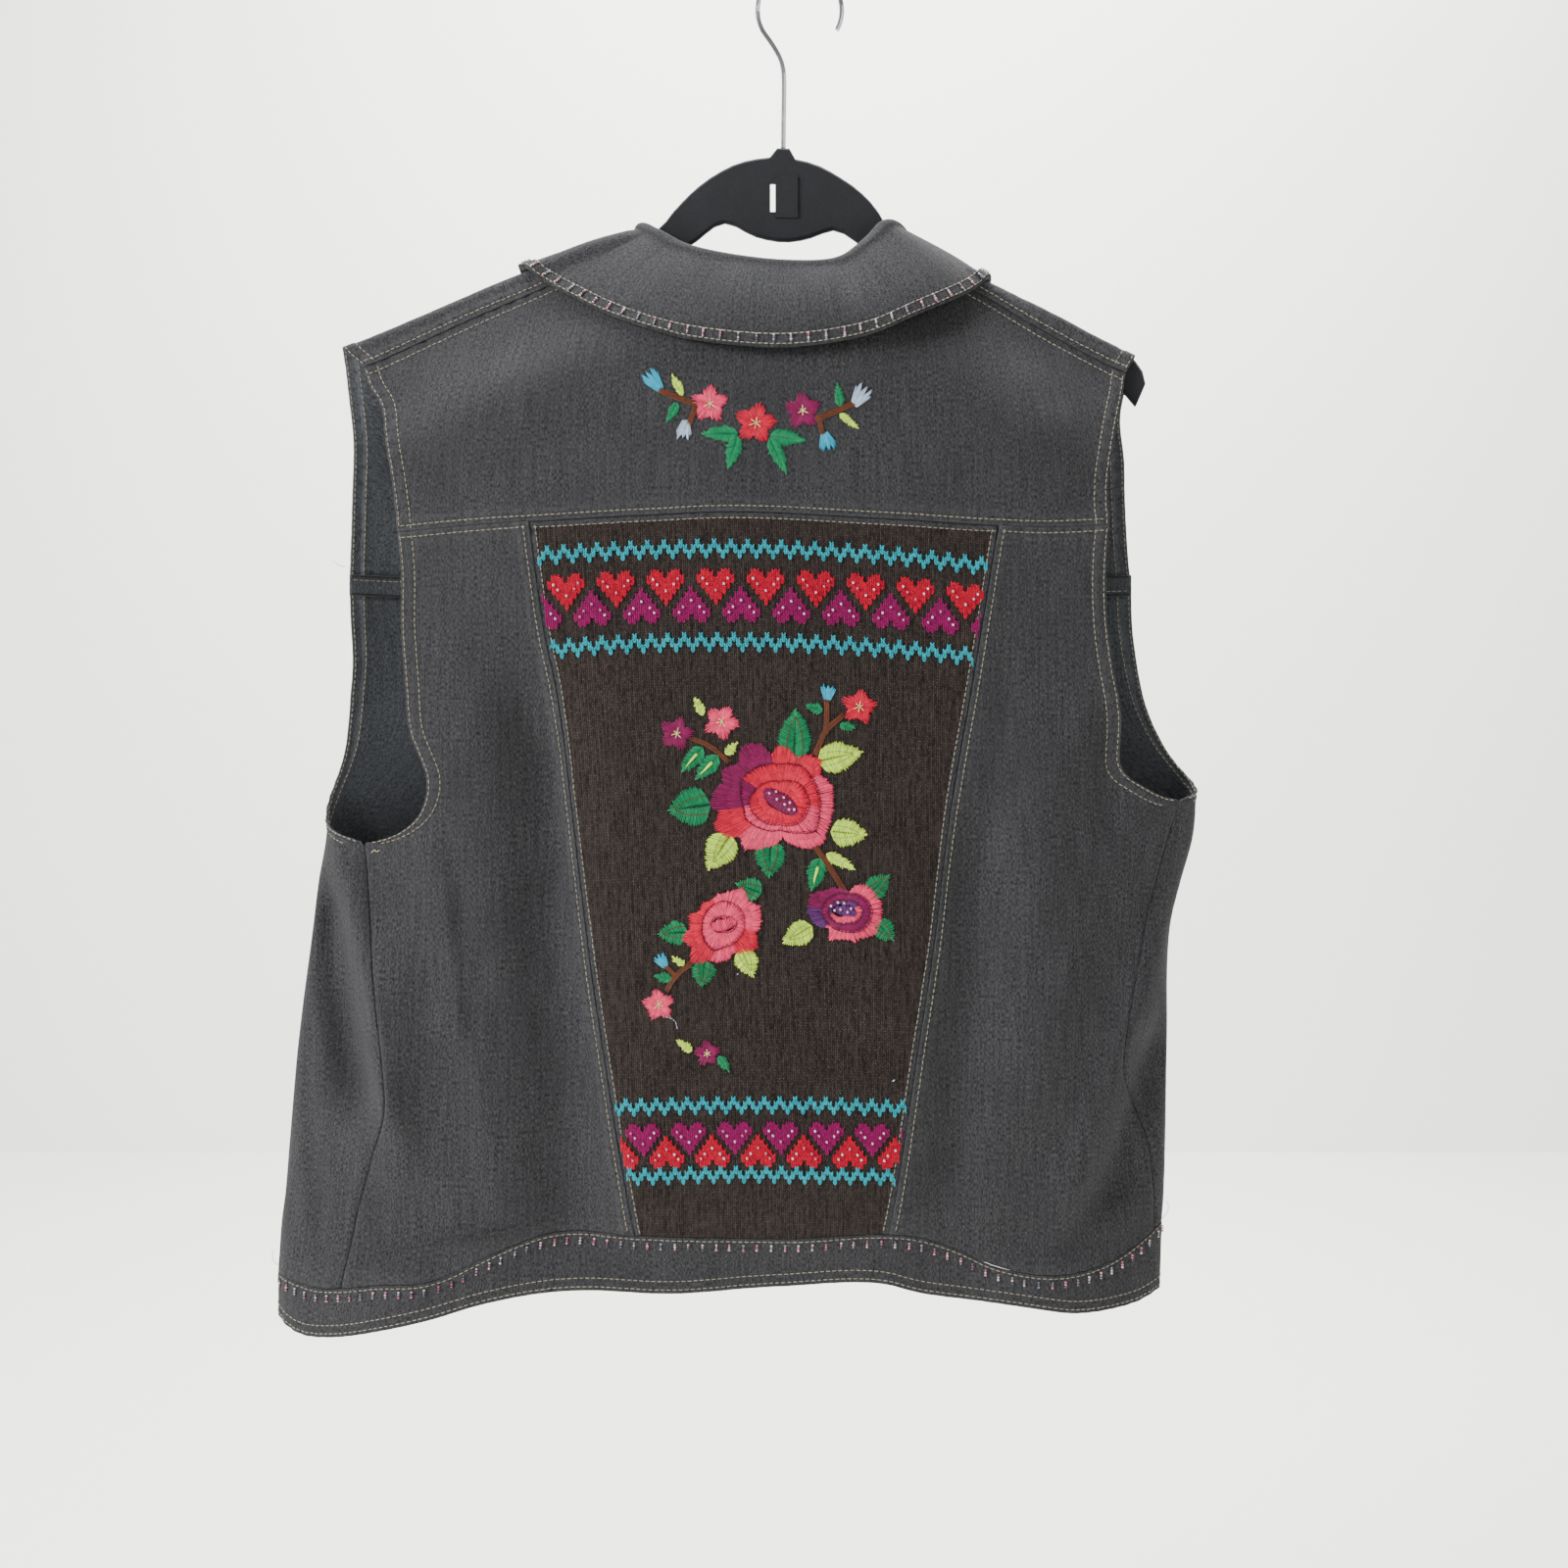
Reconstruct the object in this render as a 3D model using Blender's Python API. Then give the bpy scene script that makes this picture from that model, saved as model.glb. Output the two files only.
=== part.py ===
"""Denim vest with a knitted back panel and a wide roll collar, hanging on a slim velvet hanger.

The photographed back of the vest faces -Y, the photo's right is +X and +Z is up.
The origin is the inside top of the hanger's hook, where a rail carries the hanger.
"""
import bpy
import bmesh
import numpy as np
from mathutils import Vector

MM = 0.001

BACK = -1
FRONT = 1

# Cloth weights and the gap that is left at each seam
DENIM_WALL = 1.4 * MM
KNIT_WALL = 1.8 * MM
COLLAR_WALL = 2.0 * MM
BAND_WALL = 2.4 * MM
TRIM_WALL = 1.0 * MM
SEAM_GAP = 0.42 * MM
LAY_GAP = 0.3 * MM

# Grid counts
HOLE_ROWS = 11
SEAM_ROWS = 13
PANEL_COLUMNS = 8
KNIT_COLUMNS = 13
SHOULDER_COLUMNS = 5
NECK_COLUMNS = 14
BACK_YOKE_ROWS = 7
BAND_ROWS = 3
NECK_ROWS = 7
CENTRE_ROWS = 3
PLACKET_ROWS = 24
PLACKET_COLUMNS = 4
ARM_STEPS = 12
HANGER_STEPS = 72
HOOK_ARC_STEPS = 34
WIRE_STEPS = 48

# Counts of the points that a curve is read at before it is cut into its steps
CURVE_SAMPLES = 400
SEAM_SAMPLES = 200
NECK_SAMPLES = 80
OVER_SAMPLES = 40

# Steps that directions on the cloth are measured over
PROBE = 0.4 * MM
PROBE_ANGLE = 0.0016

# How the cloth rolls over the hanger's arms
RIDGE_RADIUS = 5.0 * MM
OPENING_DEPTH = 90 * MM
RIDGE_FADE_START = 430 * MM
RIDGE_FADE_LENGTH = 90 * MM

# Shoulder line that the hanger holds up: place along X, height
RIDGE = np.array([
    (-277, -229), (-228, -209), (-163, -181), (-117, -164.5), (-84, -157), (-60, -158),
    (0, -158), (45, -158), (62, -165), (88, -175.5), (112, -187.5), (160, -211), (204, -234),
]) * MM

# Places over the ridge where the front yoke has a row, from the back to the front
ROLL_REACHES = np.array([-8, -5, -2.5, 0, 2.5, 5, 8, 14]) * MM

# Level sections: height, left side, right side, depth of the back, depth of the front
SECTIONS = np.array([
    (-150, -286, 225, 34, 34),
    (-235, -286, 225, 33, 34),
    (-332, -286, 226, 35, 38),
    (-433, -286, 230, 40, 44),
    (-492, -286, 239, 44, 46),
    (-522, -286, 238, 46, 46),
    (-552, -291, 230, 48, 46),
    (-577, -294, 224, 50, 46),
    (-648, -303, 222, 51, 46),
    (-705, -308, 221, 51, 46),
    (-740, -311, 220, 49, 46),
    (-755, -313, 219, 46, 45),
    (-790, -315, 218, 47, 45),
    (-815, -315, 217, 49, 46),
    (-830, -315, 217, 49, 46),
]) * MM

# Folds: side, X and Z of the upper end, X and Z of the lower end, half width, height outward
FOLDS = [
    (BACK, -275, -525, -236, -690, 11, 6),
    (BACK, -284, -555, -262, -680, 14, -13),
    (BACK, -218, -525, -202, -640, 10, 3),
    (BACK, -238, -590, -236, -720, 18, 4),
    (BACK, -172, -430, -148, -750, 26, -9),
    (BACK, -258, -766, -163, -748, 9, 4),
    (BACK, 219, -570, 149, -762, 13, 6),
    (BACK, 214, -640, 180, -745, 17, -9),
    (BACK, 181, -450, 181, -525, 9, -4),
    (BACK, 142, -480, 140, -680, 22, 4),
    (BACK, 104, -520, 88, -740, 18, -5),
    (BACK, -235, -772, -232, -830, 42, 7),
    (BACK, 150, -768, 146, -830, 36, 6),
    (BACK, -20, -765, -20, -830, 90, -3),
    (FRONT, -225, -520, -214, -760, 20, 7),
    (FRONT, -130, -420, -150, -760, 26, -8),
    (FRONT, 60, -430, 84, -760, 24, -7),
    (FRONT, 165, -500, 150, -750, 20, 7),
]
FOLD_FADE = 0.28
FOLD_SIDE_FADE = 0.34

# Seams and edges, each a list of (X, Z) from one end to the other
SHOULDER_SEAM_LEFT = [(-262, -242.5), (-205, -217), (-148, -192)]
SHOULDER_SEAM_RIGHT = [(112, -200), (150, -222), (196, -245.5)]
YOKE_SEAM = [(-237, -344), (-199, -341), (-156, -339), (-95, -336), (-32, -334), (42, -337.5),
             (114, -341), (146, -341.5), (182, -339.5)]
FRONT_YOKE_HEIGHT = -370
CENTRE_FRONT = -12

HOLE_LEFT_BACK_UPPER = [(-262, -242.5), (-258, -254), (-250, -267), (-246, -287), (-241, -313), (-237, -344)]
HOLE_LEFT_BACK_LOWER = [(-237, -344), (-235, -371), (-234.5, -402), (-232, -433), (-229, -463), (-224, -475),
                        (-219, -489), (-220, -501), (-226, -513), (-237, -521.5), (-250, -526), (-258, -527)]
HOLE_LEFT_FRONT_UPPER = [(-277, -231), (-275, -256), (-273.5, -280), (-275, -312), (-276, -344),
                         (-276.5, -370)]
HOLE_LEFT_FRONT_LOWER = [(-276.5, -370), (-276, -393), (-275, -413), (-276, -434), (-279, -474)]
HOLE_RIGHT_BACK_UPPER = [(196, -245.5), (193, -261), (190, -272), (186, -289), (182, -312), (182, -339.5)]
HOLE_RIGHT_BACK_LOWER = [(182, -339.5), (180.5, -360), (180, -380), (181, -399), (184, -422),
                         (187.5, -441), (189.5, -456), (189, -470), (189, -479.5), (193, -487),
                         (202, -493), (217, -500), (226, -501.5)]
HOLE_RIGHT_FRONT_UPPER = [(203, -235), (196.5, -267), (200, -295), (201, -314), (203, -348), (205, -370)]
HOLE_RIGHT_FRONT_LOWER = [(205, -370), (206, -395), (208.5, -415), (212, -435), (218, -455), (227, -474)]
SILHOUETTE_HOLE_LEFT = -507
SILHOUETTE_HOLE_RIGHT = -494
METRES_PER_TURN = 0.25

PRINCESS_LEFT = [(-158.5, -339), (-148.5, -408), (-143, -435), (-134.5, -504), (-125.5, -572),
                 (-117, -630), (-104, -708), (-96, -756)]
PRINCESS_RIGHT = [(116, -341), (107.5, -391), (100, -435), (88, -504), (78, -582), (67.5, -650),
                  (54.5, -735), (51, -756)]
SIDE_SEAM_LEFT = [(-258, -527), (-252, -579), (-245, -641), (-241, -680), (-250.5, -711), (-262, -751),
                  (-270, -789)]
SIDE_SEAM_RIGHT = [(226, -501.5), (212, -550), (198, -608), (191.5, -662), (200, -684.5), (208.5, -708),
                   (212, -734), (213, -757)]
FRONT_PRINCESS_LEFT = [(-175, -370), (-166, -450), (-158, -560), (-146, -670), (-138, -757)]
FRONT_PRINCESS_RIGHT = [(128, -370), (122, -450), (112, -560), (100, -670), (92, -757)]

# Heights of the waist seam and of the hem along X
WAIST_BACK = [(-315, -786), (-301, -788), (-286, -790), (-269, -788.5), (-247, -784.5), (-219, -782),
              (-204, -777.5), (-184, -768), (-163, -759), (-146, -754), (-94, -753.5), (-9, -755),
              (64, -754.5), (91, -763), (111, -772), (132, -777), (153, -778.5), (175, -776),
              (192, -770.5), (206, -763), (218, -755)]
WAIST_FRONT = [(-315, -786), (-290, -781), (-230, -772), (-140, -757), (-12, -754), (90, -757), (170, -764),
               (218, -755)]
HEM_BACK = [(-315, -811), (-306, -816), (-295, -819), (-277, -818), (-246, -811), (-214, -803), (-184, -794),
            (-146, -787), (-123, -785.5), (-77, -787), (-9, -783.5), (47, -782), (70, -788), (111, -794),
            (138, -798), (161, -801.5), (183, -802), (201, -800), (211, -797), (218, -795)]
HEM_FRONT = [(-315, -811), (-290, -812), (-230, -804), (-140, -792), (-12, -787), (90, -789), (170, -796),
             (218, -795)]

# Collar and neckline from the centre front over the left shoulder, round the back and over the right one:
# neckline (X, distance over the ridge), top of the fold (X, Y, Z), outer edge (X, Y, Z)
COLLAR_ROWS = np.array([
    (-13.5, 123.9, -15, 50, -262, -68, 57, -312),
    (-39, 107.9, -34, 47, -243, -104, 53, -281),
    (-61, 78.9, -57, 39, -207, -134.5, 46, -238),
    (-81, 47.7, -82, 27, -173, -158, 32, -203),
    (-100, 20.4, -94, 12, -156, -167, 15, -186),
    (-110, 0, -95.5, 0, -152.4, -168.7, 0, -179),
    (-100, -27.9, -84.5, -10, -160, -140, -16, -199.3),
    (-78, -40.9, -68, -16, -170, -101, -32, -221.5),
    (-45, -47.9, -43, -21, -177.5, -60.7, -40, -233.7),
    (-9, -50.9, -9.5, -23, -182.2, -9.5, -44, -238.8),
    (20, -49.4, 21, -21, -180, 36, -42, -232),
    (48, -43.9, 40, -16, -166, 68, -34, -217.2),
    (70, -26.9, 51, -10, -154, 98, -20, -201),
    (84, 0, 60, 0, -153.2, 114.7, 0, -187),
    (72, 23.3, 63, 12, -158, 114.4, 14, -193),
    (60, 45.9, 61, 27, -180, 112.7, 32, -208.2),
    (42, 80.9, 38, 39, -209, 105, 46, -241.5),
    (18, 108.9, 12, 47, -244, 78, 53, -283),
    (-10.5, 123.9, -9, 50, -262, 44.4, 57, -313.6),
]) * MM
LEFT_SHOULDER_ROW = 5
RIGHT_SHOULDER_ROW = 13
STEPS_PER_ROW = [2, 2, 2, 3, 4, 6, 3, 2, 2, 2, 2, 3, 6, 4, 3, 2, 2, 2]
SEAM_REACH = -14 * MM
COLLAR_ROOT_GAP = 0.9 * MM
COLLAR_REST = 1.0 * MM
COLLAR_FOLD_RADIUS = 4.2 * MM
COLLAR_BELLY = 3.5 * MM
FALL_POINTS = 5
FOLD_POINTS = 4
STAND_POINTS = 3
TRIM_WIDTH = 8.0 * MM

# Placket and its buttons
PLACKET_WIDTH = 32 * MM
PLACKET_TOP = -292 * MM
PLACKET_OVERHANG = 1.5 * MM
BUTTON_COUNT = 6
BUTTON_RADIUS = 8.5 * MM
BUTTON_HEIGHT = 3.0 * MM
BUTTON_RIM = 1.6 * MM
BUTTON_DISH = 0.8 * MM
BUTTON_TAPER = 0.86
BUTTON_SIDES = 16
BUTTON_TOP = -312 * MM
BUTTON_BOTTOM = -770 * MM

# Hanger: flat body with a rounded edge, arch in the middle, wire hook
HANGER_THICKNESS = 5.5 * MM
HANGER_EDGE = 1.6 * MM
HANGER_ARCH_TOP = [(-95, -161.2), (-89, -159.2), (-84, -155.5), (-75.3, -145), (-64.6, -134), (-52.2, -124.5),
                   (-36.8, -116.8), (-26, -114.3), (-17.4, -113), (-15.2, -108.5), (-5.4, -108.5),
                   (-3.4, -114), (3, -115.6), (10.7, -118), (23.7, -125), (35, -132.8), (44.5, -142.3),
                   (50.8, -151.8), (53.6, -158), (58, -166.5), (62, -169.8)]
HANGER_ARM_LEFT = (-236, -110)
HANGER_ARM_RIGHT = (72, 196)
HANGER_TIP_LEFT = [(-243, -236), (-242, -222)]
HANGER_TIP_RIGHT = [(205.5, -239), (209, -250)]
ARM_BELOW_RIDGE = 2.5 * MM
HANGER_BOTTOM = [(-236, -243), (-229, -235), (-220, -229), (-186, -212), (-139, -193), (-103, -181),
                 (-88, -176.5), (-78, -172.5), (-64, -165), (-55.7, -158.3), (-49.8, -154.2), (-45, -153),
                 (-38.5, -155), (-28.5, -160.5), (-19.6, -163), (-14, -164), (-7.7, -164.3), (-2, -163.8),
                 (4.7, -162.5), (14, -159), (21, -157.2), (27.3, -159.5), (35.6, -165.5), (66, -187),
                 (104, -208), (154, -232), (193, -253), (203, -264)]
SLOT_SIZE = (3.0 * MM, 20 * MM, 18.5 * MM)
SLOT_CENTRE = (-16.3 * MM, 0, -137.7 * MM)
ANCHOR_SIZE = (13.6 * MM, 7.5 * MM, 25 * MM)
ANCHOR_CENTRE = (-8 * MM, 0, -138 * MM)

WIRE_RADIUS = 1.5 * MM
HOOK_RADIUS = 25.5 * MM
HOOK_CENTRE = (0, 0, -24.0 * MM)
HOOK_END_ANGLE = -28
HOOK_LOWER_ANGLE = 222
HOOK_NECK = [(-11.6, -53.5), (-9.9, -60), (-9.5, -67), (-9.6, -80), (-9.8, -95), (-9.9, -107.5)]


def smooth_value(table, value, column=1):
    """Read a table at a value with a smooth curve through its rows."""
    keys = table[:, 0]
    values = table[:, column]
    if keys[0] > keys[-1]:
        keys = keys[::-1]
        values = values[::-1]
    slopes = np.diff(values) / np.diff(keys)
    tangents = np.concatenate([slopes[:1], (slopes[1:] + slopes[:-1]) / 2, slopes[-1:]])
    value = np.clip(value, keys[0], keys[-1])
    index = np.clip(np.searchsorted(keys, value) - 1, 0, len(keys) - 2)
    span = keys[index + 1] - keys[index]
    u = (value - keys[index]) / span
    return ((2 * u ** 3 - 3 * u ** 2 + 1) * values[index]
            + (u ** 3 - 2 * u ** 2 + u) * span * tangents[index]
            + (3 * u ** 2 - 2 * u ** 3) * values[index + 1]
            + (u ** 3 - u ** 2) * span * tangents[index + 1])


def smooth_line(points, steps):
    """Points at equal distances along a smooth curve through the given ones."""
    points = np.asarray(points, float)
    lengths = np.concatenate([[0], np.cumsum(np.linalg.norm(np.diff(points, axis=0), axis=1))])
    fine = np.linspace(0, lengths[-1], CURVE_SAMPLES)
    columns = []
    for column in points.T:
        columns.append(smooth_value(np.column_stack([lengths, column]), fine))
    curve = np.column_stack(columns)
    travelled = np.concatenate([[0], np.cumsum(np.linalg.norm(np.diff(curve, axis=0), axis=1))])
    wanted = np.linspace(0, travelled[-1], steps + 1)
    return np.column_stack([np.interp(wanted, travelled, column) for column in curve.T])


def smooth_step(value):
    """Ease from 0 to 1 while the value goes from 0 to 1."""
    value = np.clip(value, 0, 1)
    return value * value * (3 - 2 * value)


def section_at(z):
    """Centre and half width of the level section at a height."""
    left = smooth_value(SECTIONS, z, 1)
    right = smooth_value(SECTIONS, z, 2)
    return (left + right) / 2, (right - left) / 2


def fold_height(x, z, side, roundness):
    """How far the folds stand out at one place of the cloth."""
    height = 0.0
    for fold_side, top_x, top_z, bottom_x, bottom_z, width, rise in FOLDS:
        if fold_side != side:
            continue
        along = (top_z * MM - z) / ((top_z - bottom_z) * MM)
        centre = (top_x + (bottom_x - top_x) * np.clip(along, 0, 1)) * MM
        ends = smooth_step(along / FOLD_FADE + 0.5) * smooth_step((1 - along) / FOLD_FADE + 0.5)
        height = height + rise * MM * np.exp(-((x - centre) / (width * MM)) ** 2) * ends
    return height * smooth_step(roundness / FOLD_SIDE_FADE)


def cloth_point(x, z, side):
    """Outer surface of the vest at one place, seen from the back or from the front."""
    below = smooth_value(RIDGE, x) - z
    centre, half = section_at(z)
    roundness = np.sqrt(max(0.0, 1 - min(1.0, abs(x - centre) / half) ** 2))
    depth = smooth_value(SECTIONS, z, 3 if side == BACK else 4)
    cap = RIDGE_RADIUS
    if below < RIDGE_RADIUS:
        cap = np.sqrt(max(0.0, RIDGE_RADIUS ** 2 - (RIDGE_RADIUS - max(0.0, below)) ** 2))
    cap = cap * (1 - smooth_step((-z - RIDGE_FADE_START) / RIDGE_FADE_LENGTH))
    y = cap + depth * roundness * smooth_step(below / OPENING_DEPTH)
    y = y + fold_height(x, z, side, roundness)
    return np.array([x, side * y, z])


def round_point(angle, z):
    """Surface point at an angle round the level section: 0 is the right side, 90 degrees the front."""
    centre, half = section_at(z)
    side = FRONT if np.sin(angle) > 0 else BACK
    return cloth_point(centre + half * np.cos(angle), z, side)


def over_point(x, reach):
    """Surface point at a distance over the shoulder ridge, negative on the back."""
    side = BACK if reach < 0 else FRONT
    distance = abs(reach)
    quarter = RIDGE_RADIUS * np.pi / 2
    if distance < quarter:
        below = RIDGE_RADIUS * (1 - np.cos(distance / RIDGE_RADIUS))
    else:
        below = RIDGE_RADIUS + distance - quarter
    return cloth_point(x, smooth_value(RIDGE, x) - below, side)


def angle_of(x, z, side):
    """Angle round the section for a place given by X, Z and the side."""
    centre, half = section_at(z)
    angle = np.arccos(np.clip((x - centre) / half, -1, 1))
    return angle if side == FRONT else 2 * np.pi - angle


def reach_of(x, z, side):
    """Distance over the shoulder ridge for a place given by X, Z and the side."""
    below = max(0.0, smooth_value(RIDGE, x) - z)
    if below < RIDGE_RADIUS:
        return side * RIDGE_RADIUS * np.arccos(1 - below / RIDGE_RADIUS)
    return side * (RIDGE_RADIUS * (np.pi / 2 - 1) + below)


def round_line(points, side, steps):
    """Turn a seam given by (X, Z) in millimetres into (angle, Z) steps."""
    line = smooth_line(np.array(points) * MM, steps)
    return np.array([(angle_of(x, z, side), z) for x, z in line])


def over_line(points, side, steps):
    """Turn a seam given by (X, Z) in millimetres into (X, reach) steps."""
    line = smooth_line(np.array(points) * MM, steps)
    return np.array([(x, reach_of(x, z, side)) for x, z in line])


def patch(top, right, bottom, left):
    """Fill four edge lines with an even grid: rows run down, columns from left to right."""
    rows = len(left)
    columns = len(top)
    v = np.linspace(0, 1, rows)[:, None, None]
    u = np.linspace(0, 1, columns)[None, :, None]
    across = (1 - u) * left[:, None, :] + u * right[:, None, :]
    down = (1 - v) * top[None, :, :] + v * bottom[None, :, :]
    corners = ((1 - u) * (1 - v) * top[0] + u * (1 - v) * top[-1]
               + (1 - u) * v * bottom[0] + u * v * bottom[-1])
    return across + down - corners


def surface_grid(coordinates, place, lift=0.0):
    """Surface points of a grid of coordinates, and the outward direction at each."""
    step = PROBE_ANGLE if place is round_point else PROBE
    rows, columns, _ = coordinates.shape
    points = np.zeros((rows, columns, 3))
    normals = np.zeros((rows, columns, 3))
    for i in range(rows):
        for j in range(columns):
            a, b = coordinates[i, j]
            along = place(a + step, b) - place(a - step, b)
            down = place(a, b - PROBE) - place(a, b + PROBE)
            normal = np.cross(down, along)
            normal = normal / np.linalg.norm(normal)
            points[i, j] = place(a, b) + normal * lift
            normals[i, j] = normal
    return points, normals


def open_seams(points, normals, top=True, right=True, bottom=True, left=True):
    """Draw the edges of a panel back by half a seam gap."""
    moved = points.copy()
    edges = [
        (top, (0, slice(None)), (1, slice(None))),
        (bottom, (-1, slice(None)), (-2, slice(None))),
        (left, (slice(None), 0), (slice(None), 1)),
        (right, (slice(None), -1), (slice(None), -2)),
    ]
    for wanted, edge, inner in edges:
        if not wanted:
            continue
        way = points[inner] - points[edge]
        way = way - normals[edge] * np.sum(way * normals[edge], axis=-1, keepdims=True)
        way = way / np.linalg.norm(way, axis=-1, keepdims=True)
        moved[edge] += way * SEAM_GAP / 2
    return moved


def make_material(name, colour, roughness, metallic=0.0):
    """Plain Principled material."""
    material = bpy.data.materials.new(name)
    material.use_nodes = True
    shader = material.node_tree.nodes["Principled BSDF"]
    shader.inputs["Base Color"].default_value = (*colour, 1.0)
    shader.inputs["Roughness"].default_value = roughness
    shader.inputs["Metallic"].default_value = metallic
    return material


def link_mesh(name, shape, material):
    """Turn a bmesh into a smooth shaded object."""
    bmesh.ops.recalc_face_normals(shape, faces=shape.faces)
    mesh = bpy.data.meshes.new(name)
    shape.to_mesh(mesh)
    shape.free()
    mesh.materials.append(material)
    mesh.shade_smooth()
    mesh.set_sharp_from_angle(angle=np.radians(40))
    piece = bpy.data.objects.new(name, mesh)
    bpy.context.scene.collection.objects.link(piece)
    return piece


def make_wall(name, outer, inner, material):
    """Closed wall between an outer and an inner grid of points."""
    shape = bmesh.new()
    rows, columns, _ = outer.shape
    skins = []
    for grid in (outer, inner):
        skins.append([[shape.verts.new(grid[i, j]) for j in range(columns)] for i in range(rows)])
    front, rear = skins
    for i in range(rows - 1):
        for j in range(columns - 1):
            shape.faces.new((front[i][j], front[i + 1][j], front[i + 1][j + 1], front[i][j + 1]))
            shape.faces.new((rear[i][j], rear[i][j + 1], rear[i + 1][j + 1], rear[i + 1][j]))
    rim = [(i, 0) for i in range(rows)]
    rim += [(rows - 1, j) for j in range(1, columns)]
    rim += [(i, columns - 1) for i in range(rows - 2, -1, -1)]
    rim += [(0, j) for j in range(columns - 2, 0, -1)]
    for (i, j), (k, m) in zip(rim, rim[1:] + rim[:1]):
        shape.faces.new((front[i][j], rear[i][j], rear[k][m], front[k][m]))
    return link_mesh(name, shape, material)


def make_panel(name, edges, place, wall, material, lift=0.0):
    """Cut one panel of cloth from its four edge lines."""
    coordinates = patch(*edges)
    points, normals = surface_grid(coordinates, place, lift)
    points = open_seams(points, normals)
    return make_wall(name, points, points - normals * wall, material)


def split_angle(x_start, z_start, x_end, z_end, side, steps):
    """Straight line of (angle, Z) steps between two places in millimetres."""
    first = np.array([angle_of(x_start * MM, z_start * MM, side), z_start * MM])
    last = np.array([angle_of(x_end * MM, z_end * MM, side), z_end * MM])
    return first + (last - first) * np.linspace(0, 1, steps + 1)[:, None]


def waist_height(x, side):
    """Height of the waist seam."""
    return smooth_value(np.array(WAIST_BACK if side == BACK else WAIST_FRONT) * MM, x)


def hem_height(x, side):
    """Height of the hem."""
    return smooth_value(np.array(HEM_BACK if side == BACK else HEM_FRONT) * MM, x)


def at_level(angles, height_at):
    """Line of (angle, Z) that follows the waist seam or the hem through some angles."""
    line = []
    for angle in angles:
        side = FRONT if np.sin(angle) > 0 else BACK
        z = WAIST_BACK[0][1] * MM
        for _ in range(4):
            centre, half = section_at(z)
            z = height_at(centre + half * np.cos(angle), side)
        line.append((angle, z))
    return np.array(line)


def level_line(first_angle, last_angle, height_at, steps):
    """Even steps along the waist seam or the hem between two angles."""
    return at_level(np.linspace(first_angle, last_angle, steps + 1), height_at)


def seam_to_waist(points, side, steps):
    """Seam line whose lower end sits on the waist seam."""
    x_end = points[-1][0]
    ends = points[:-1] + [(x_end, float(waist_height(x_end * MM, side)) / MM)]
    return round_line(ends, side, steps)


def even_heights(line, steps):
    """Same line with its steps at equal distances in Z."""
    wanted = np.linspace(line[0, 1], line[-1, 1], steps + 1)
    return np.column_stack([np.interp(-wanted, -line[:, 1], line[:, 0]), wanted])


def shoulder_line(points, neck_end, steps):
    """Shoulder seam as (X, reach) steps from the armhole to the neckline."""
    line = over_line(points, BACK, OVER_SAMPLES)
    return smooth_line(np.vstack([line, [neck_end]]), steps)


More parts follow.
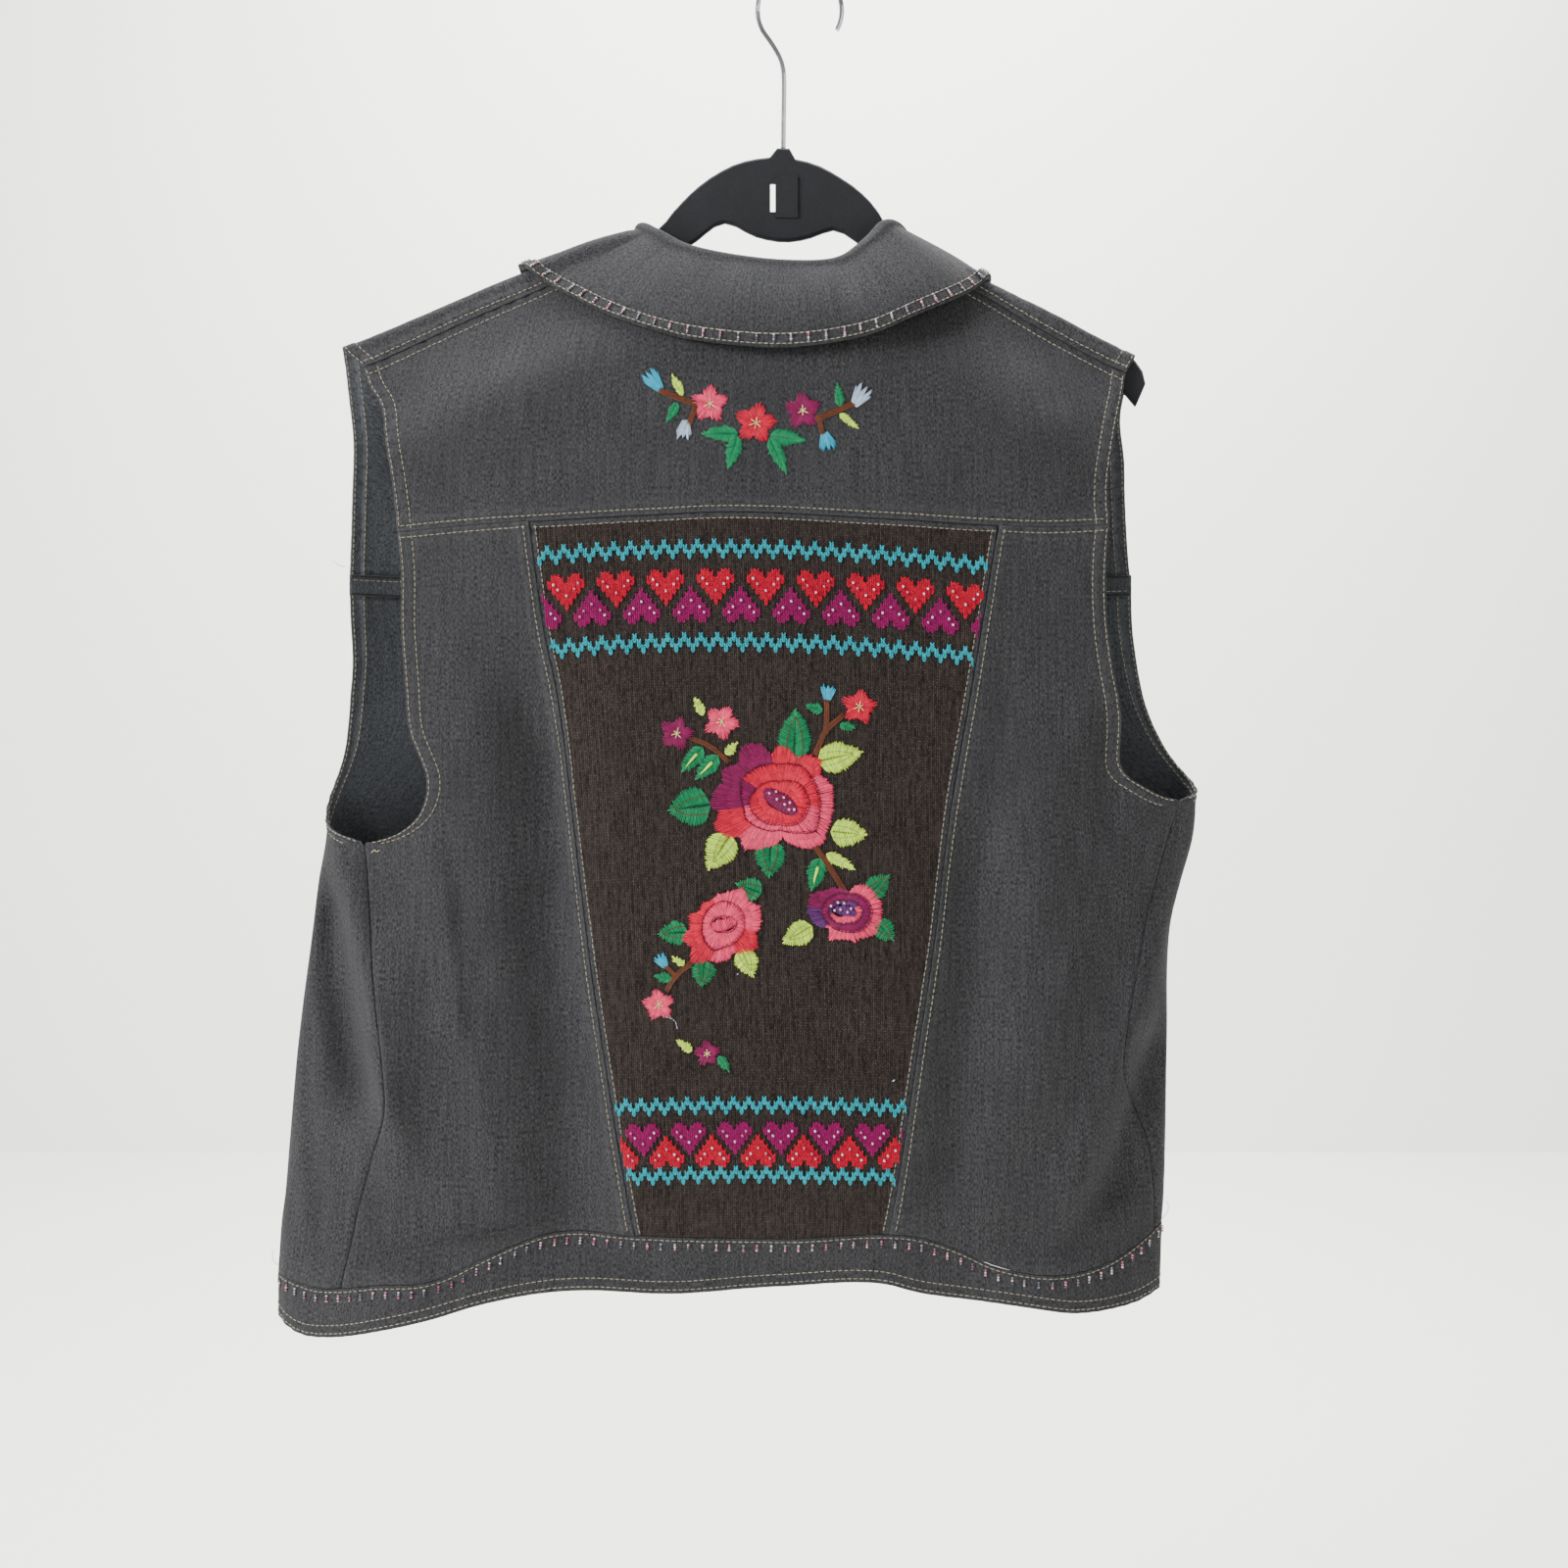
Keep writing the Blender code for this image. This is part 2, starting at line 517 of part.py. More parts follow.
def build_back(denim, knit):
    """Back yoke, knitted centre panel and the two side backs."""
    corner_left = HOLE_LEFT_BACK_LOWER[0]
    corner_right = HOLE_RIGHT_BACK_LOWER[0]
    neck_places = np.linspace(seam_row(LEFT_SHOULDER_ROW, 1), seam_row(RIGHT_SHOULDER_ROW, -1),
                              NECK_COLUMNS + 1)
    neck = collar_line(0, 2, neck_places)
    top = np.vstack([
        shoulder_line(SHOULDER_SEAM_LEFT, neck[0], SHOULDER_COLUMNS),
        neck[1:],
        shoulder_line(SHOULDER_SEAM_RIGHT[::-1], neck[-1], SHOULDER_COLUMNS)[::-1][1:],
    ])
    yoke_columns = len(top) - 1
    make_panel("back_yoke", (
        top,
        over_line(HOLE_RIGHT_BACK_UPPER, BACK, BACK_YOKE_ROWS),
        over_line(YOKE_SEAM, BACK, yoke_columns),
        over_line(HOLE_LEFT_BACK_UPPER, BACK, BACK_YOKE_ROWS),
    ), over_point, DENIM_WALL, denim)

    rows = HOLE_ROWS + SEAM_ROWS
    left_seam = even_heights(seam_to_waist(PRINCESS_LEFT, BACK, SEAM_SAMPLES), rows)
    right_seam = even_heights(seam_to_waist(PRINCESS_RIGHT, BACK, SEAM_SAMPLES), rows)
    between = [point for point in YOKE_SEAM if PRINCESS_LEFT[0][0] < point[0] < PRINCESS_RIGHT[0][0]]
    make_panel("back_center_knit", (
        round_line([PRINCESS_LEFT[0]] + between + [PRINCESS_RIGHT[0]], BACK, KNIT_COLUMNS),
        right_seam,
        level_line(left_seam[-1, 0], right_seam[-1, 0], waist_height, KNIT_COLUMNS),
        left_seam,
    ), round_point, KNIT_WALL, knit)

    outer_left = np.vstack([
        round_line(HOLE_LEFT_BACK_LOWER, BACK, HOLE_ROWS),
        even_heights(seam_to_waist(SIDE_SEAM_LEFT, BACK, SEAM_SAMPLES), SEAM_ROWS)[1:],
    ])
    make_panel("back_side_left", (
        round_line([corner_left] + [p for p in YOKE_SEAM if corner_left[0] < p[0] < PRINCESS_LEFT[0][0] - 5]
                   + [PRINCESS_LEFT[0]], BACK, PANEL_COLUMNS),
        left_seam,
        level_line(outer_left[-1, 0], left_seam[-1, 0], waist_height, PANEL_COLUMNS),
        outer_left,
    ), round_point, DENIM_WALL, denim)

    outer_right = np.vstack([
        round_line(HOLE_RIGHT_BACK_LOWER, BACK, HOLE_ROWS),
        even_heights(seam_to_waist(SIDE_SEAM_RIGHT, BACK, SEAM_SAMPLES), SEAM_ROWS)[1:],
    ])
    make_panel("back_side_right", (
        round_line([PRINCESS_RIGHT[0]]
                   + [p for p in YOKE_SEAM if PRINCESS_RIGHT[0][0] + 5 < p[0] < corner_right[0]]
                   + [corner_right], BACK, PANEL_COLUMNS),
        outer_right,
        level_line(right_seam[-1, 0], outer_right[-1, 0], waist_height, PANEL_COLUMNS),
        right_seam,
    ), round_point, DENIM_WALL, denim)


def front_edge(upper, lower, silhouette_height, side_top, steps):
    """Armhole edge of a side front: down the front, round the side and back to the side seam."""
    line = [(angle_of(x * MM, z * MM, FRONT), z * MM) for x, z in lower]
    turn = np.pi if line[0][0] > np.pi / 2 else 0.0
    start = angle_of(side_top[0] * MM, side_top[1] * MM, BACK)
    if turn == 0.0:
        start -= 2 * np.pi
    line.append((turn, silhouette_height * MM))
    line.append((start, side_top[1] * MM))
    scale = np.array([METRES_PER_TURN, 1.0])
    return smooth_line(np.array(line) * scale, steps) / scale


def shift_turn(line):
    """Write the angles of a line on the right half as negative ones."""
    return line - np.array([2 * np.pi, 0])


def roll_line(points, steps):
    """Steps of a line of (X, reach) that crosses the ridge: close together there, even further down."""
    start = points[0, 1]
    top = np.array([[np.interp(reach, points[:, 1], points[:, 0]), reach]
                    for reach in ROLL_REACHES])
    below = points[points[:, 1] > ROLL_REACHES[-1] + 2 * MM]
    return np.vstack([[[points[0, 0], start]], top[:-1], smooth_line(np.vstack([top[-1:], below]), steps)])


def build_fronts(denim):
    """Front yokes, centre fronts and side fronts."""
    rows = HOLE_ROWS + SEAM_ROWS
    level = FRONT_YOKE_HEIGHT
    halves = [
        ("left", SHOULDER_SEAM_LEFT, seam_row(LEFT_SHOULDER_ROW, 1), 0, HOLE_LEFT_FRONT_UPPER,
         HOLE_LEFT_FRONT_LOWER, SILHOUETTE_HOLE_LEFT, SIDE_SEAM_LEFT, FRONT_PRINCESS_LEFT),
        ("right", SHOULDER_SEAM_RIGHT[::-1], seam_row(RIGHT_SHOULDER_ROW, -1), len(COLLAR_ROWS) - 1,
         HOLE_RIGHT_FRONT_UPPER, HOLE_RIGHT_FRONT_LOWER, SILHOUETTE_HOLE_RIGHT, SIDE_SEAM_RIGHT,
         FRONT_PRINCESS_RIGHT),
    ]
    for hand, shoulder, neck_start, neck_end, upper, lower, silhouette, side_seam, princess in halves:
        on_left = hand == "left"
        neck = collar_line(0, 2, np.linspace(neck_start, neck_end, NECK_SAMPLES))
        seam = shoulder_line(shoulder, neck[0], SHOULDER_COLUMNS + 5)
        arm = roll_line(np.vstack([
            [seam[0]],
            [(upper[0][0] * MM, 0.0)],
            over_line(upper, FRONT, OVER_SAMPLES)[3:],
        ]), NECK_ROWS + CENTRE_ROWS)
        below_neck = np.linspace(neck[-1, 1], reach_of(CENTRE_FRONT * MM, level * MM, FRONT), CENTRE_ROWS + 1)
        inner = np.vstack([
            roll_line(neck, NECK_ROWS),
            [(CENTRE_FRONT * MM, reach) for reach in below_neck[1:]],
        ])
        low = over_line([(upper[-1][0], level), (CENTRE_FRONT, level)], FRONT, SHOULDER_COLUMNS + 5)
        if on_left:
            edges = (seam, inner, low, arm)
        else:
            edges = (seam[::-1], arm, low[::-1], inner)
        make_panel(f"front_yoke_{hand}", edges, over_point, DENIM_WALL, denim)

        front_seam = even_heights(seam_to_waist(princess, FRONT, SEAM_SAMPLES), rows)
        closing = [(CENTRE_FRONT, level), (CENTRE_FRONT, WAIST_FRONT[4][1])]
        centre = even_heights(seam_to_waist(closing, FRONT, SEAM_SAMPLES), rows)
        edge = front_edge(upper, lower, silhouette, side_seam[0], HOLE_ROWS)
        side = even_heights(seam_to_waist(side_seam, BACK, SEAM_SAMPLES), SEAM_ROWS)[1:]
        if not on_left:
            side = shift_turn(side)
        outer = np.vstack([edge, side])
        centre_top = split_angle(CENTRE_FRONT, level, princess[0][0], level, FRONT, PANEL_COLUMNS)
        side_top = split_angle(princess[0][0], level, upper[-1][0], level, FRONT, PANEL_COLUMNS + 2)
        centre_low = level_line(centre[-1, 0], front_seam[-1, 0], waist_height, PANEL_COLUMNS)
        side_low = level_line(front_seam[-1, 0], outer[-1, 0], waist_height, PANEL_COLUMNS + 2)
        if on_left:
            make_panel(f"front_center_{hand}", (centre_top, front_seam, centre_low, centre),
                       round_point, DENIM_WALL, denim)
            make_panel(f"front_side_{hand}", (side_top, outer, side_low, front_seam),
                       round_point, DENIM_WALL, denim)
        else:
            make_panel(f"front_center_{hand}", (centre_top[::-1], centre, centre_low[::-1], front_seam),
                       round_point, DENIM_WALL, denim)
            make_panel(f"front_side_{hand}", (side_top[::-1], front_seam, side_low[::-1], outer),
                       round_point, DENIM_WALL, denim)


def waist_corner(points, side):
    """Angle at which a seam meets the waist seam."""
    return seam_to_waist(points, side, SEAM_SAMPLES)[-1, 0]


def build_waistband(denim):
    """Folded band along the hem, open at the centre front, with its columns in line with the panels."""
    centre = waist_corner([(CENTRE_FRONT, FRONT_YOKE_HEIGHT), (CENTRE_FRONT, WAIST_FRONT[4][1])], FRONT)
    turn = 2 * np.pi
    corners = [
        (centre, PANEL_COLUMNS),
        (waist_corner(FRONT_PRINCESS_LEFT, FRONT), PANEL_COLUMNS + 2),
        (waist_corner(SIDE_SEAM_LEFT, BACK), PANEL_COLUMNS),
        (waist_corner(PRINCESS_LEFT, BACK), KNIT_COLUMNS),
        (waist_corner(PRINCESS_RIGHT, BACK), PANEL_COLUMNS),
        (waist_corner(SIDE_SEAM_RIGHT, BACK), PANEL_COLUMNS + 2),
        (waist_corner(FRONT_PRINCESS_RIGHT, FRONT) + turn, PANEL_COLUMNS),
        (centre + turn, 0),
    ]
    angles = [np.linspace(first, last, columns + 1)[:-1]
              for (first, columns), (last, _) in zip(corners, corners[1:])]
    angles = np.append(np.concatenate(angles), centre + turn)
    top = at_level(angles, waist_height)
    low = at_level(angles, hem_height)
    share = np.linspace(0, 1, BAND_ROWS + 1)[:, None]
    left = top[0] + (low[0] - top[0]) * share
    right = top[-1] + (low[-1] - top[-1]) * share
    make_panel("waistband", (top, right, low, left), round_point, BAND_WALL, denim)


def build_placket(denim, metal):
    """Buttonhole band down the centre front, and its buttons."""
    bottom = float(hem_height(CENTRE_FRONT * MM, FRONT)) + PLACKET_OVERHANG
    rows = []
    for z in np.linspace(PLACKET_TOP, bottom, PLACKET_ROWS + 1):
        x_values = CENTRE_FRONT * MM + np.linspace(1, -1, PLACKET_COLUMNS + 1) * PLACKET_WIDTH / 2
        rows.append([(angle_of(x, z, FRONT), z) for x in x_values])
    points, normals = surface_grid(np.array(rows), round_point)
    inner = points + normals * LAY_GAP
    make_wall("front_placket", inner + normals * DENIM_WALL, inner, denim)

    lift = LAY_GAP * 3 + DENIM_WALL
    for number, z in enumerate(np.linspace(BUTTON_TOP, BUTTON_BOTTOM, BUTTON_COUNT)):
        angle = angle_of(CENTRE_FRONT * MM, z, FRONT)
        point, normal = surface_grid(np.array([[(angle, z)]]), round_point)
        shape = bmesh.new()
        bmesh.ops.create_cone(shape, cap_ends=True, segments=BUTTON_SIDES, depth=BUTTON_HEIGHT,
                              radius1=BUTTON_RADIUS * BUTTON_TAPER, radius2=BUTTON_RADIUS)
        top_face = max(shape.faces, key=lambda face: face.calc_center_median().z)
        bmesh.ops.inset_individual(shape, faces=[top_face], thickness=BUTTON_RIM, depth=-BUTTON_DISH)
        button = link_mesh(f"button_{number + 1}", shape, metal)
        direction = Vector(normal[0, 0])
        button.rotation_mode = "QUATERNION"
        button.rotation_quaternion = direction.to_track_quat("Z", "Y")
        button.location = Vector(point[0, 0]) + direction * (lift + BUTTON_HEIGHT / 2)


def collar_line(first, last, places):
    """Smooth values of some columns of the collar's rows at the given row places."""
    keys = np.arange(len(COLLAR_ROWS), dtype=float)
    tables = [np.column_stack([keys, COLLAR_ROWS[:, column]]) for column in range(first, last)]
    return np.column_stack([smooth_value(table, places) for table in tables])


def seam_row(shoulder_row, step):
    """Row place at which the neckline meets a shoulder seam, on the back of the ridge."""
    places = np.linspace(shoulder_row, shoulder_row + step, SEAM_SAMPLES)
    reaches = collar_line(1, 2, places)[:, 0]
    return float(np.interp(-SEAM_REACH, -reaches, places))


def clear_of_cloth(point, clearance):
    """Push a collar point out until it lies clear of the cloth below it."""
    point = point.copy()
    for _ in range(5):
        x, y, z = point
        side = BACK if y < 0 else FRONT
        cap_centre = smooth_value(RIDGE, x) - RIDGE_RADIUS
        if z > cap_centre:
            reach = side * RIDGE_RADIUS * np.arctan2(abs(y), z - cap_centre)
        else:
            reach = reach_of(x, z, side)
        place, normal = surface_grid(np.array([[(x, reach)]]), over_point)
        distance = np.dot(point - place[0, 0], normal[0, 0])
        if distance < clearance:
            point += normal[0, 0] * (clearance - distance)
    return point


def clear_of_arm(point):
    """Lift a collar point off the hanger's arm where it crosses it."""
    x, y, z = point
    arm = smooth_value(RIDGE, x) - ARM_BELOW_RIDGE + LAY_GAP * 2
    if abs(y) < HANGER_THICKNESS / 2 + LAY_GAP * 2 and z < arm:
        return np.array([x, y, arm])
    return point


def build_collar(denim):
    """Wide roll collar: stand, rolled fold and fall, with a band along its outer edge."""
    places = np.concatenate([row + np.arange(steps) / steps for row, steps in enumerate(STEPS_PER_ROW)]
                            + [[len(STEPS_PER_ROW)]])
    folds = collar_line(2, 5, places)
    edges = collar_line(5, 8, places)
    necks, neck_normals = surface_grid(collar_line(0, 2, places)[None, :, :], over_point)
    into_neck = np.cross(neck_normals[0], np.gradient(necks[0], axis=0))
    into_neck = into_neck / np.linalg.norm(into_neck, axis=-1, keepdims=True)
    visible = []
    for fold, edge, neck, normal, inward in zip(folds, edges, necks[0], neck_normals[0], into_neck):
        root = neck - normal * DENIM_WALL
        outward = edge - fold
        outward[2] = 0
        outward = outward / np.linalg.norm(outward)
        centre = fold - np.array([0, 0, COLLAR_FOLD_RADIUS])
        out_start = centre + outward * COLLAR_FOLD_RADIUS
        in_start = centre - outward * COLLAR_FOLD_RADIUS
        trim = TRIM_WIDTH / np.linalg.norm(out_start - edge)
        section = []
        for share in np.concatenate([[0, trim / 2], np.linspace(trim, 1, FALL_POINTS)[:-1]]):
            place = edge + (out_start - edge) * share
            belly = COLLAR_BELLY * np.sin(np.pi * share)
            place = place + outward * belly
            section.append(clear_of_cloth(place, COLLAR_WALL + COLLAR_REST))
        for turn in np.linspace(0, np.pi, FOLD_POINTS + 1):
            way = outward * np.cos(turn) + np.array([0, 0, 1]) * np.sin(turn)
            section.append(centre + way * COLLAR_FOLD_RADIUS)
        rise = in_start - root
        rise = rise / np.linalg.norm(rise)
        root = root + inward * (COLLAR_ROOT_GAP + COLLAR_WALL * max(0.0, np.dot(rise, normal)))
        for share in np.linspace(0, 1, STAND_POINTS + 1)[1:]:
            section.append(clear_of_arm(in_start + (root - in_start) * share))
        visible.append(section)
    visible = np.array(visible).transpose(1, 0, 2)[::-1]
    across = np.gradient(visible, axis=1)
    down = np.gradient(visible, axis=0)
    normals = np.cross(down, across)
    normals = normals / np.linalg.norm(normals, axis=-1, keepdims=True)
    make_wall("collar", visible, visible - normals * COLLAR_WALL, denim)

    band = visible[-3:]
    band_normals = normals[-3:]
    under = band + band_normals * LAY_GAP
    make_wall("collar_trim", under + band_normals * TRIM_WALL, under, denim)


def build_hanger(velvet, chrome):
    """Flat hanger body with its arch, slot and hook anchor, and the wire hook."""
    outline = np.array(HANGER_TIP_LEFT) * MM
    for first, last in (HANGER_ARM_LEFT, HANGER_ARM_RIGHT):
        x = np.linspace(first, last, ARM_STEPS) * MM
        arm = np.column_stack([x, smooth_value(RIDGE, x) - ARM_BELOW_RIDGE])
        outline = np.vstack([outline, arm])
        if first < 0:
            outline = np.vstack([outline, np.array(HANGER_ARCH_TOP) * MM])
    outline = np.vstack([outline, np.array(HANGER_TIP_RIGHT) * MM])
    top = smooth_line(outline, HANGER_STEPS)
    low = smooth_line(np.array(HANGER_BOTTOM) * MM, HANGER_STEPS)
    half = HANGER_THICKNESS / 2
    shape = bmesh.new()
    loops = []
    for upper, lower in zip(top, low):
        across = lower - upper
        across = across / np.linalg.norm(across)
        ring = []
        for edge, way in ((upper, across), (lower, -across)):
            chamfer = edge + way * HANGER_EDGE
            front = (edge[0], half - HANGER_EDGE, edge[1])
            face = (chamfer[0], half, chamfer[1])
            corners = [face, front, (front[0], -front[1], front[2]), (face[0], -face[1], face[2])]
            ring += corners if way is across else corners[::-1]
        loops.append([shape.verts.new(place) for place in ring])
    for first, second in zip(loops, loops[1:]):
        for k in range(8):
            shape.faces.new((first[k], first[(k + 1) % 8], second[(k + 1) % 8], second[k]))
    shape.faces.new(loops[0])
    shape.faces.new(loops[-1][::-1])
    body = link_mesh("hanger_body", shape, velvet)

    blocks = [
        ("anchor_form", ANCHOR_SIZE, ANCHOR_CENTRE, "UNION"),
        ("slot_cutter", SLOT_SIZE, SLOT_CENTRE, "DIFFERENCE"),
    ]
    for label, size, centre, operation in blocks:
        block = bmesh.new()
        bmesh.ops.create_cube(block, size=1.0)
        bmesh.ops.scale(block, vec=size, verts=block.verts)
        bmesh.ops.translate(block, vec=centre, verts=block.verts)
        guide = link_mesh(label, block, velvet)
        guide.hide_render = True
        guide.display_type = "WIRE"
        cut = body.modifiers.new(label, "BOOLEAN")
        cut.operation = operation
        cut.solver = "EXACT"
        cut.object = guide

    angles = np.radians(np.linspace(HOOK_END_ANGLE, HOOK_LOWER_ANGLE, HOOK_ARC_STEPS))
    route = [(HOOK_CENTRE[0] + HOOK_RADIUS * np.cos(angle), HOOK_CENTRE[2] + HOOK_RADIUS * np.sin(angle))
             for angle in angles]
    route += [(x * MM, z * MM) for x, z in HOOK_NECK]
    wire = smooth_line(route, WIRE_STEPS)
    curve = bpy.data.curves.new("hanger_hook", "CURVE")
    curve.dimensions = "3D"
    curve.bevel_depth = WIRE_RADIUS
    curve.bevel_resolution = 2
    curve.use_fill_caps = True
    spline = curve.splines.new("POLY")
    spline.points.add(len(wire) - 1)
    for point, (x, z) in zip(spline.points, wire):
        point.co = (x, 0, z, 1)
    curve.materials.append(chrome)
    hook = bpy.data.objects.new("hanger_hook", curve)
    bpy.context.scene.collection.objects.link(hook)


def main():
    for existing in list(bpy.data.objects):
        bpy.data.objects.remove(existing, do_unlink=True)
    denim = make_material("denim_charcoal", (0.055, 0.058, 0.068), 0.9)
    knit = make_material("knit_marl", (0.045, 0.036, 0.034), 0.95)
    metal = make_material("button_metal", (0.25, 0.24, 0.23), 0.4, 1.0)
    velvet = make_material("velvet_black", (0.012, 0.012, 0.013), 0.95)
    chrome = make_material("hook_chrome", (0.78, 0.78, 0.79), 0.12, 1.0)
    build_back(denim, knit)
    build_fronts(denim)
    build_waistband(denim)
    build_placket(denim, metal)
    build_collar(denim)
    build_hanger(velvet, chrome)


main()
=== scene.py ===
import bpy
import bmesh
import math
import numpy as np
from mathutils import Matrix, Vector


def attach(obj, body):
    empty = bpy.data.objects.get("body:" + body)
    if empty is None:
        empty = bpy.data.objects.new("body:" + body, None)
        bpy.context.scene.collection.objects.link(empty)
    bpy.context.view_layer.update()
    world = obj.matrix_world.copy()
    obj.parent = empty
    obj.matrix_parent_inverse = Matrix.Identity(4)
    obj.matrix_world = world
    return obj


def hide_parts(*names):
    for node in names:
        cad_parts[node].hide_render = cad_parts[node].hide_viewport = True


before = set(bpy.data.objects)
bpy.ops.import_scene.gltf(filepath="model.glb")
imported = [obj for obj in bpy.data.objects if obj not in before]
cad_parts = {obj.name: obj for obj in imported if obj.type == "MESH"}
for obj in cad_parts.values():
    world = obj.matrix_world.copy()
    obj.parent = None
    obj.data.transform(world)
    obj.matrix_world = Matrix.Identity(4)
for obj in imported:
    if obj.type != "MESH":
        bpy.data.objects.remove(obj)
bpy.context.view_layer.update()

mm = 0.001
back, front = -1, 1
print("frame loaded")


# Linear colour with alpha from an sRGB hex code
def colour(code):
    parts = [int(code[i:i + 2], 16) / 255 for i in (1, 3, 5)]
    return tuple(p / 12.92 if p <= 0.04045 else ((p + 0.055) / 1.055) ** 2.4 for p in parts) + (1.0,)


# Adds a node, sets it up, fills or links its inputs and gives one of its outputs
def addNode(tree, kind, inputs=None, out=0, **settings):
    made = tree.nodes.new("ShaderNode" + kind)
    for key, value in settings.items():
        setattr(made, key, value)
    for key, value in (inputs or {}).items():
        if isinstance(value, bpy.types.NodeSocket):
            tree.links.new(value, made.inputs[key])
        else:
            made.inputs[key].default_value = value
    return made.outputs[out]


# Material whose Principled shader has some values that are the same all over
def newMaterial(name, values):
    material = bpy.data.materials.new(name)
    material.use_nodes = True
    shader = material.node_tree.nodes["Principled BSDF"]
    for key, value in values.items():
        shader.inputs[key].default_value = value
    return material, material.node_tree, shader


# Puts a piece on the body and hides the nodes that it stands for
def finishPiece(piece, replaced=()):
    bpy.context.scene.collection.objects.link(piece)
    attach(piece, "root")
    if replaced:
        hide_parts(*replaced)


# The drape: one surface that every panel lies on, in the frame's own sizes
drape = {
    "ridgeRadius": 5 * mm,
    "openingDepth": 90 * mm,
    "ridgeFadeStart": 430 * mm,
    "ridgeFadeLength": 90 * mm,
    "foldFade": 0.28,
    "foldSideFade": 0.34,
}
ridge = np.array([
    (-277, -229), (-228, -209), (-163, -181), (-117, -164.5), (-84, -157), (-60, -158),
    (0, -158), (45, -158), (62, -165), (88, -175.5), (112, -187.5), (160, -211), (204, -234),
]) * mm

# Level sections: height, left side, right side, depth of the back, depth of the front
sections = np.array([
    (-150, -286, 225, 34, 34), (-235, -286, 225, 33, 34), (-332, -286, 226, 35, 38),
    (-433, -286, 230, 40, 44), (-492, -286, 239, 44, 46), (-522, -286, 238, 46, 46),
    (-552, -291, 230, 48, 46), (-577, -294, 224, 50, 46), (-648, -303, 222, 51, 46),
    (-705, -308, 221, 51, 46), (-740, -311, 220, 49, 46), (-755, -313, 219, 46, 45),
    (-790, -315, 218, 47, 45), (-815, -315, 217, 49, 46), (-830, -315, 217, 49, 46),
]) * mm

# Large folds: side, X and Z of the upper end, X and Z of the lower end, half width, height outward
folds = [
    (back, -275, -525, -236, -690, 11, 6), (back, -284, -555, -262, -680, 14, -13),
    (back, -218, -525, -202, -640, 10, 3), (back, -238, -590, -236, -720, 18, 7),
    (back, -154, -430, -130, -750, 26, -16), (back, -258, -766, -163, -748, 9, 4),
    (back, 219, -570, 149, -762, 13, 6), (back, 214, -640, 180, -745, 17, -9),
    (back, 181, -450, 181, -525, 9, -4), (back, 142, -480, 140, -680, 22, 6),
    (back, 104, -520, 88, -740, 18, -8), (back, -235, -772, -232, -830, 42, 7),
    (back, 150, -768, 146, -830, 36, 6), (back, -20, -765, -20, -830, 90, -3),
    (front, -225, -520, -214, -760, 20, 7), (front, -130, -420, -150, -760, 26, -8),
    (front, 60, -430, 84, -760, 24, -7), (front, 165, -500, 150, -750, 20, 7),
]

# Smaller creases that only the photo's eye level shows, in the same columns
creases = [
    (back, -208, -546, -196, -640, 4, 1.6), (back, -262, -600, -243, -655, 5, -1.8),
    (back, -256, -700, -262, -752, 6, 1.8), (back, -150, -470, -139, -560, 9, -1.6),
    (back, -190, -640, -176, -735, 8, 1.8), (back, -296, -640, -283, -760, 6, -2.0),
    (back, 205, -640, 176, -720, 5, 1.5), (back, 122, -420, 110, -540, 7, -1.2),
    (back, 165, -560, 150, -650, 7, 1.4), (back, 196, -520, 205, -570, 6, -1.6),
    (back, -215, -300, -190, -330, 8, -1.0), (back, 150, -270, 165, -320, 9, 1.0),
    (back, -60, -520, -64, -640, 16, 0.8), (back, 20, -600, 12, -700, 14, -0.9),
    (front, -200, -600, -190, -700, 8, 1.8), (front, 120, -620, 132, -730, 8, -1.8),
    (front, -80, -640, -92, -740, 12, 1.4), (front, 30, -600, 44, -720, 10, 1.4),
]

# Slow ripples of the hung cloth: turns per metre along X and Z, start, height
ripples = [(9, 4, 0.3, 0.5), (-6, 11, 1.7, 0.4), (17, -5, 2.9, 0.22), (3, 21, 0.8, 0.2), (24, 9, 4.1, 0.1),
           (-13, 27, 5.2, 0.1)]


# Reads a table at some values with a smooth curve through its rows
def smoothValue(table, value, column=1):
    keys, values = table[:, 0], table[:, column]
    if keys[0] > keys[-1]:
        keys, values = keys[::-1], values[::-1]
    slopes = np.diff(values) / np.diff(keys)
    tangents = np.concatenate([slopes[:1], (slopes[1:] + slopes[:-1]) / 2, slopes[-1:]])
    value = np.clip(value, keys[0], keys[-1])
    index = np.clip(np.searchsorted(keys, value) - 1, 0, len(keys) - 2)
    span = keys[index + 1] - keys[index]
    u = (value - keys[index]) / span
    return ((2 * u ** 3 - 3 * u ** 2 + 1) * values[index] + (u ** 3 - 2 * u ** 2 + u) * span * tangents[index]
            + (3 * u ** 2 - 2 * u ** 3) * values[index + 1] + (u ** 3 - u ** 2) * span * tangents[index + 1])


# Eases from 0 to 1 while the value goes from 0 to 1
def smoothStep(value):
    value = np.clip(value, 0, 1)
    return value * value * (3 - 2 * value)


# Points at equal distances along a smooth curve through the given ones
def smoothLine(points, steps=480):
    points = np.asarray(points, float)
    lengths = np.concatenate([[0], np.cumsum(np.linalg.norm(np.diff(points, axis=0), axis=1))])
    fine = np.linspace(0, lengths[-1], 1200)
    curve = np.column_stack([smoothValue(np.column_stack([lengths, column]), fine) for column in points.T])
    travelled = np.concatenate([[0], np.cumsum(np.linalg.norm(np.diff(curve, axis=0), axis=1))])
    wanted = np.linspace(0, travelled[-1], steps + 1)
    return np.column_stack([np.interp(wanted, travelled, column) for column in curve.T])


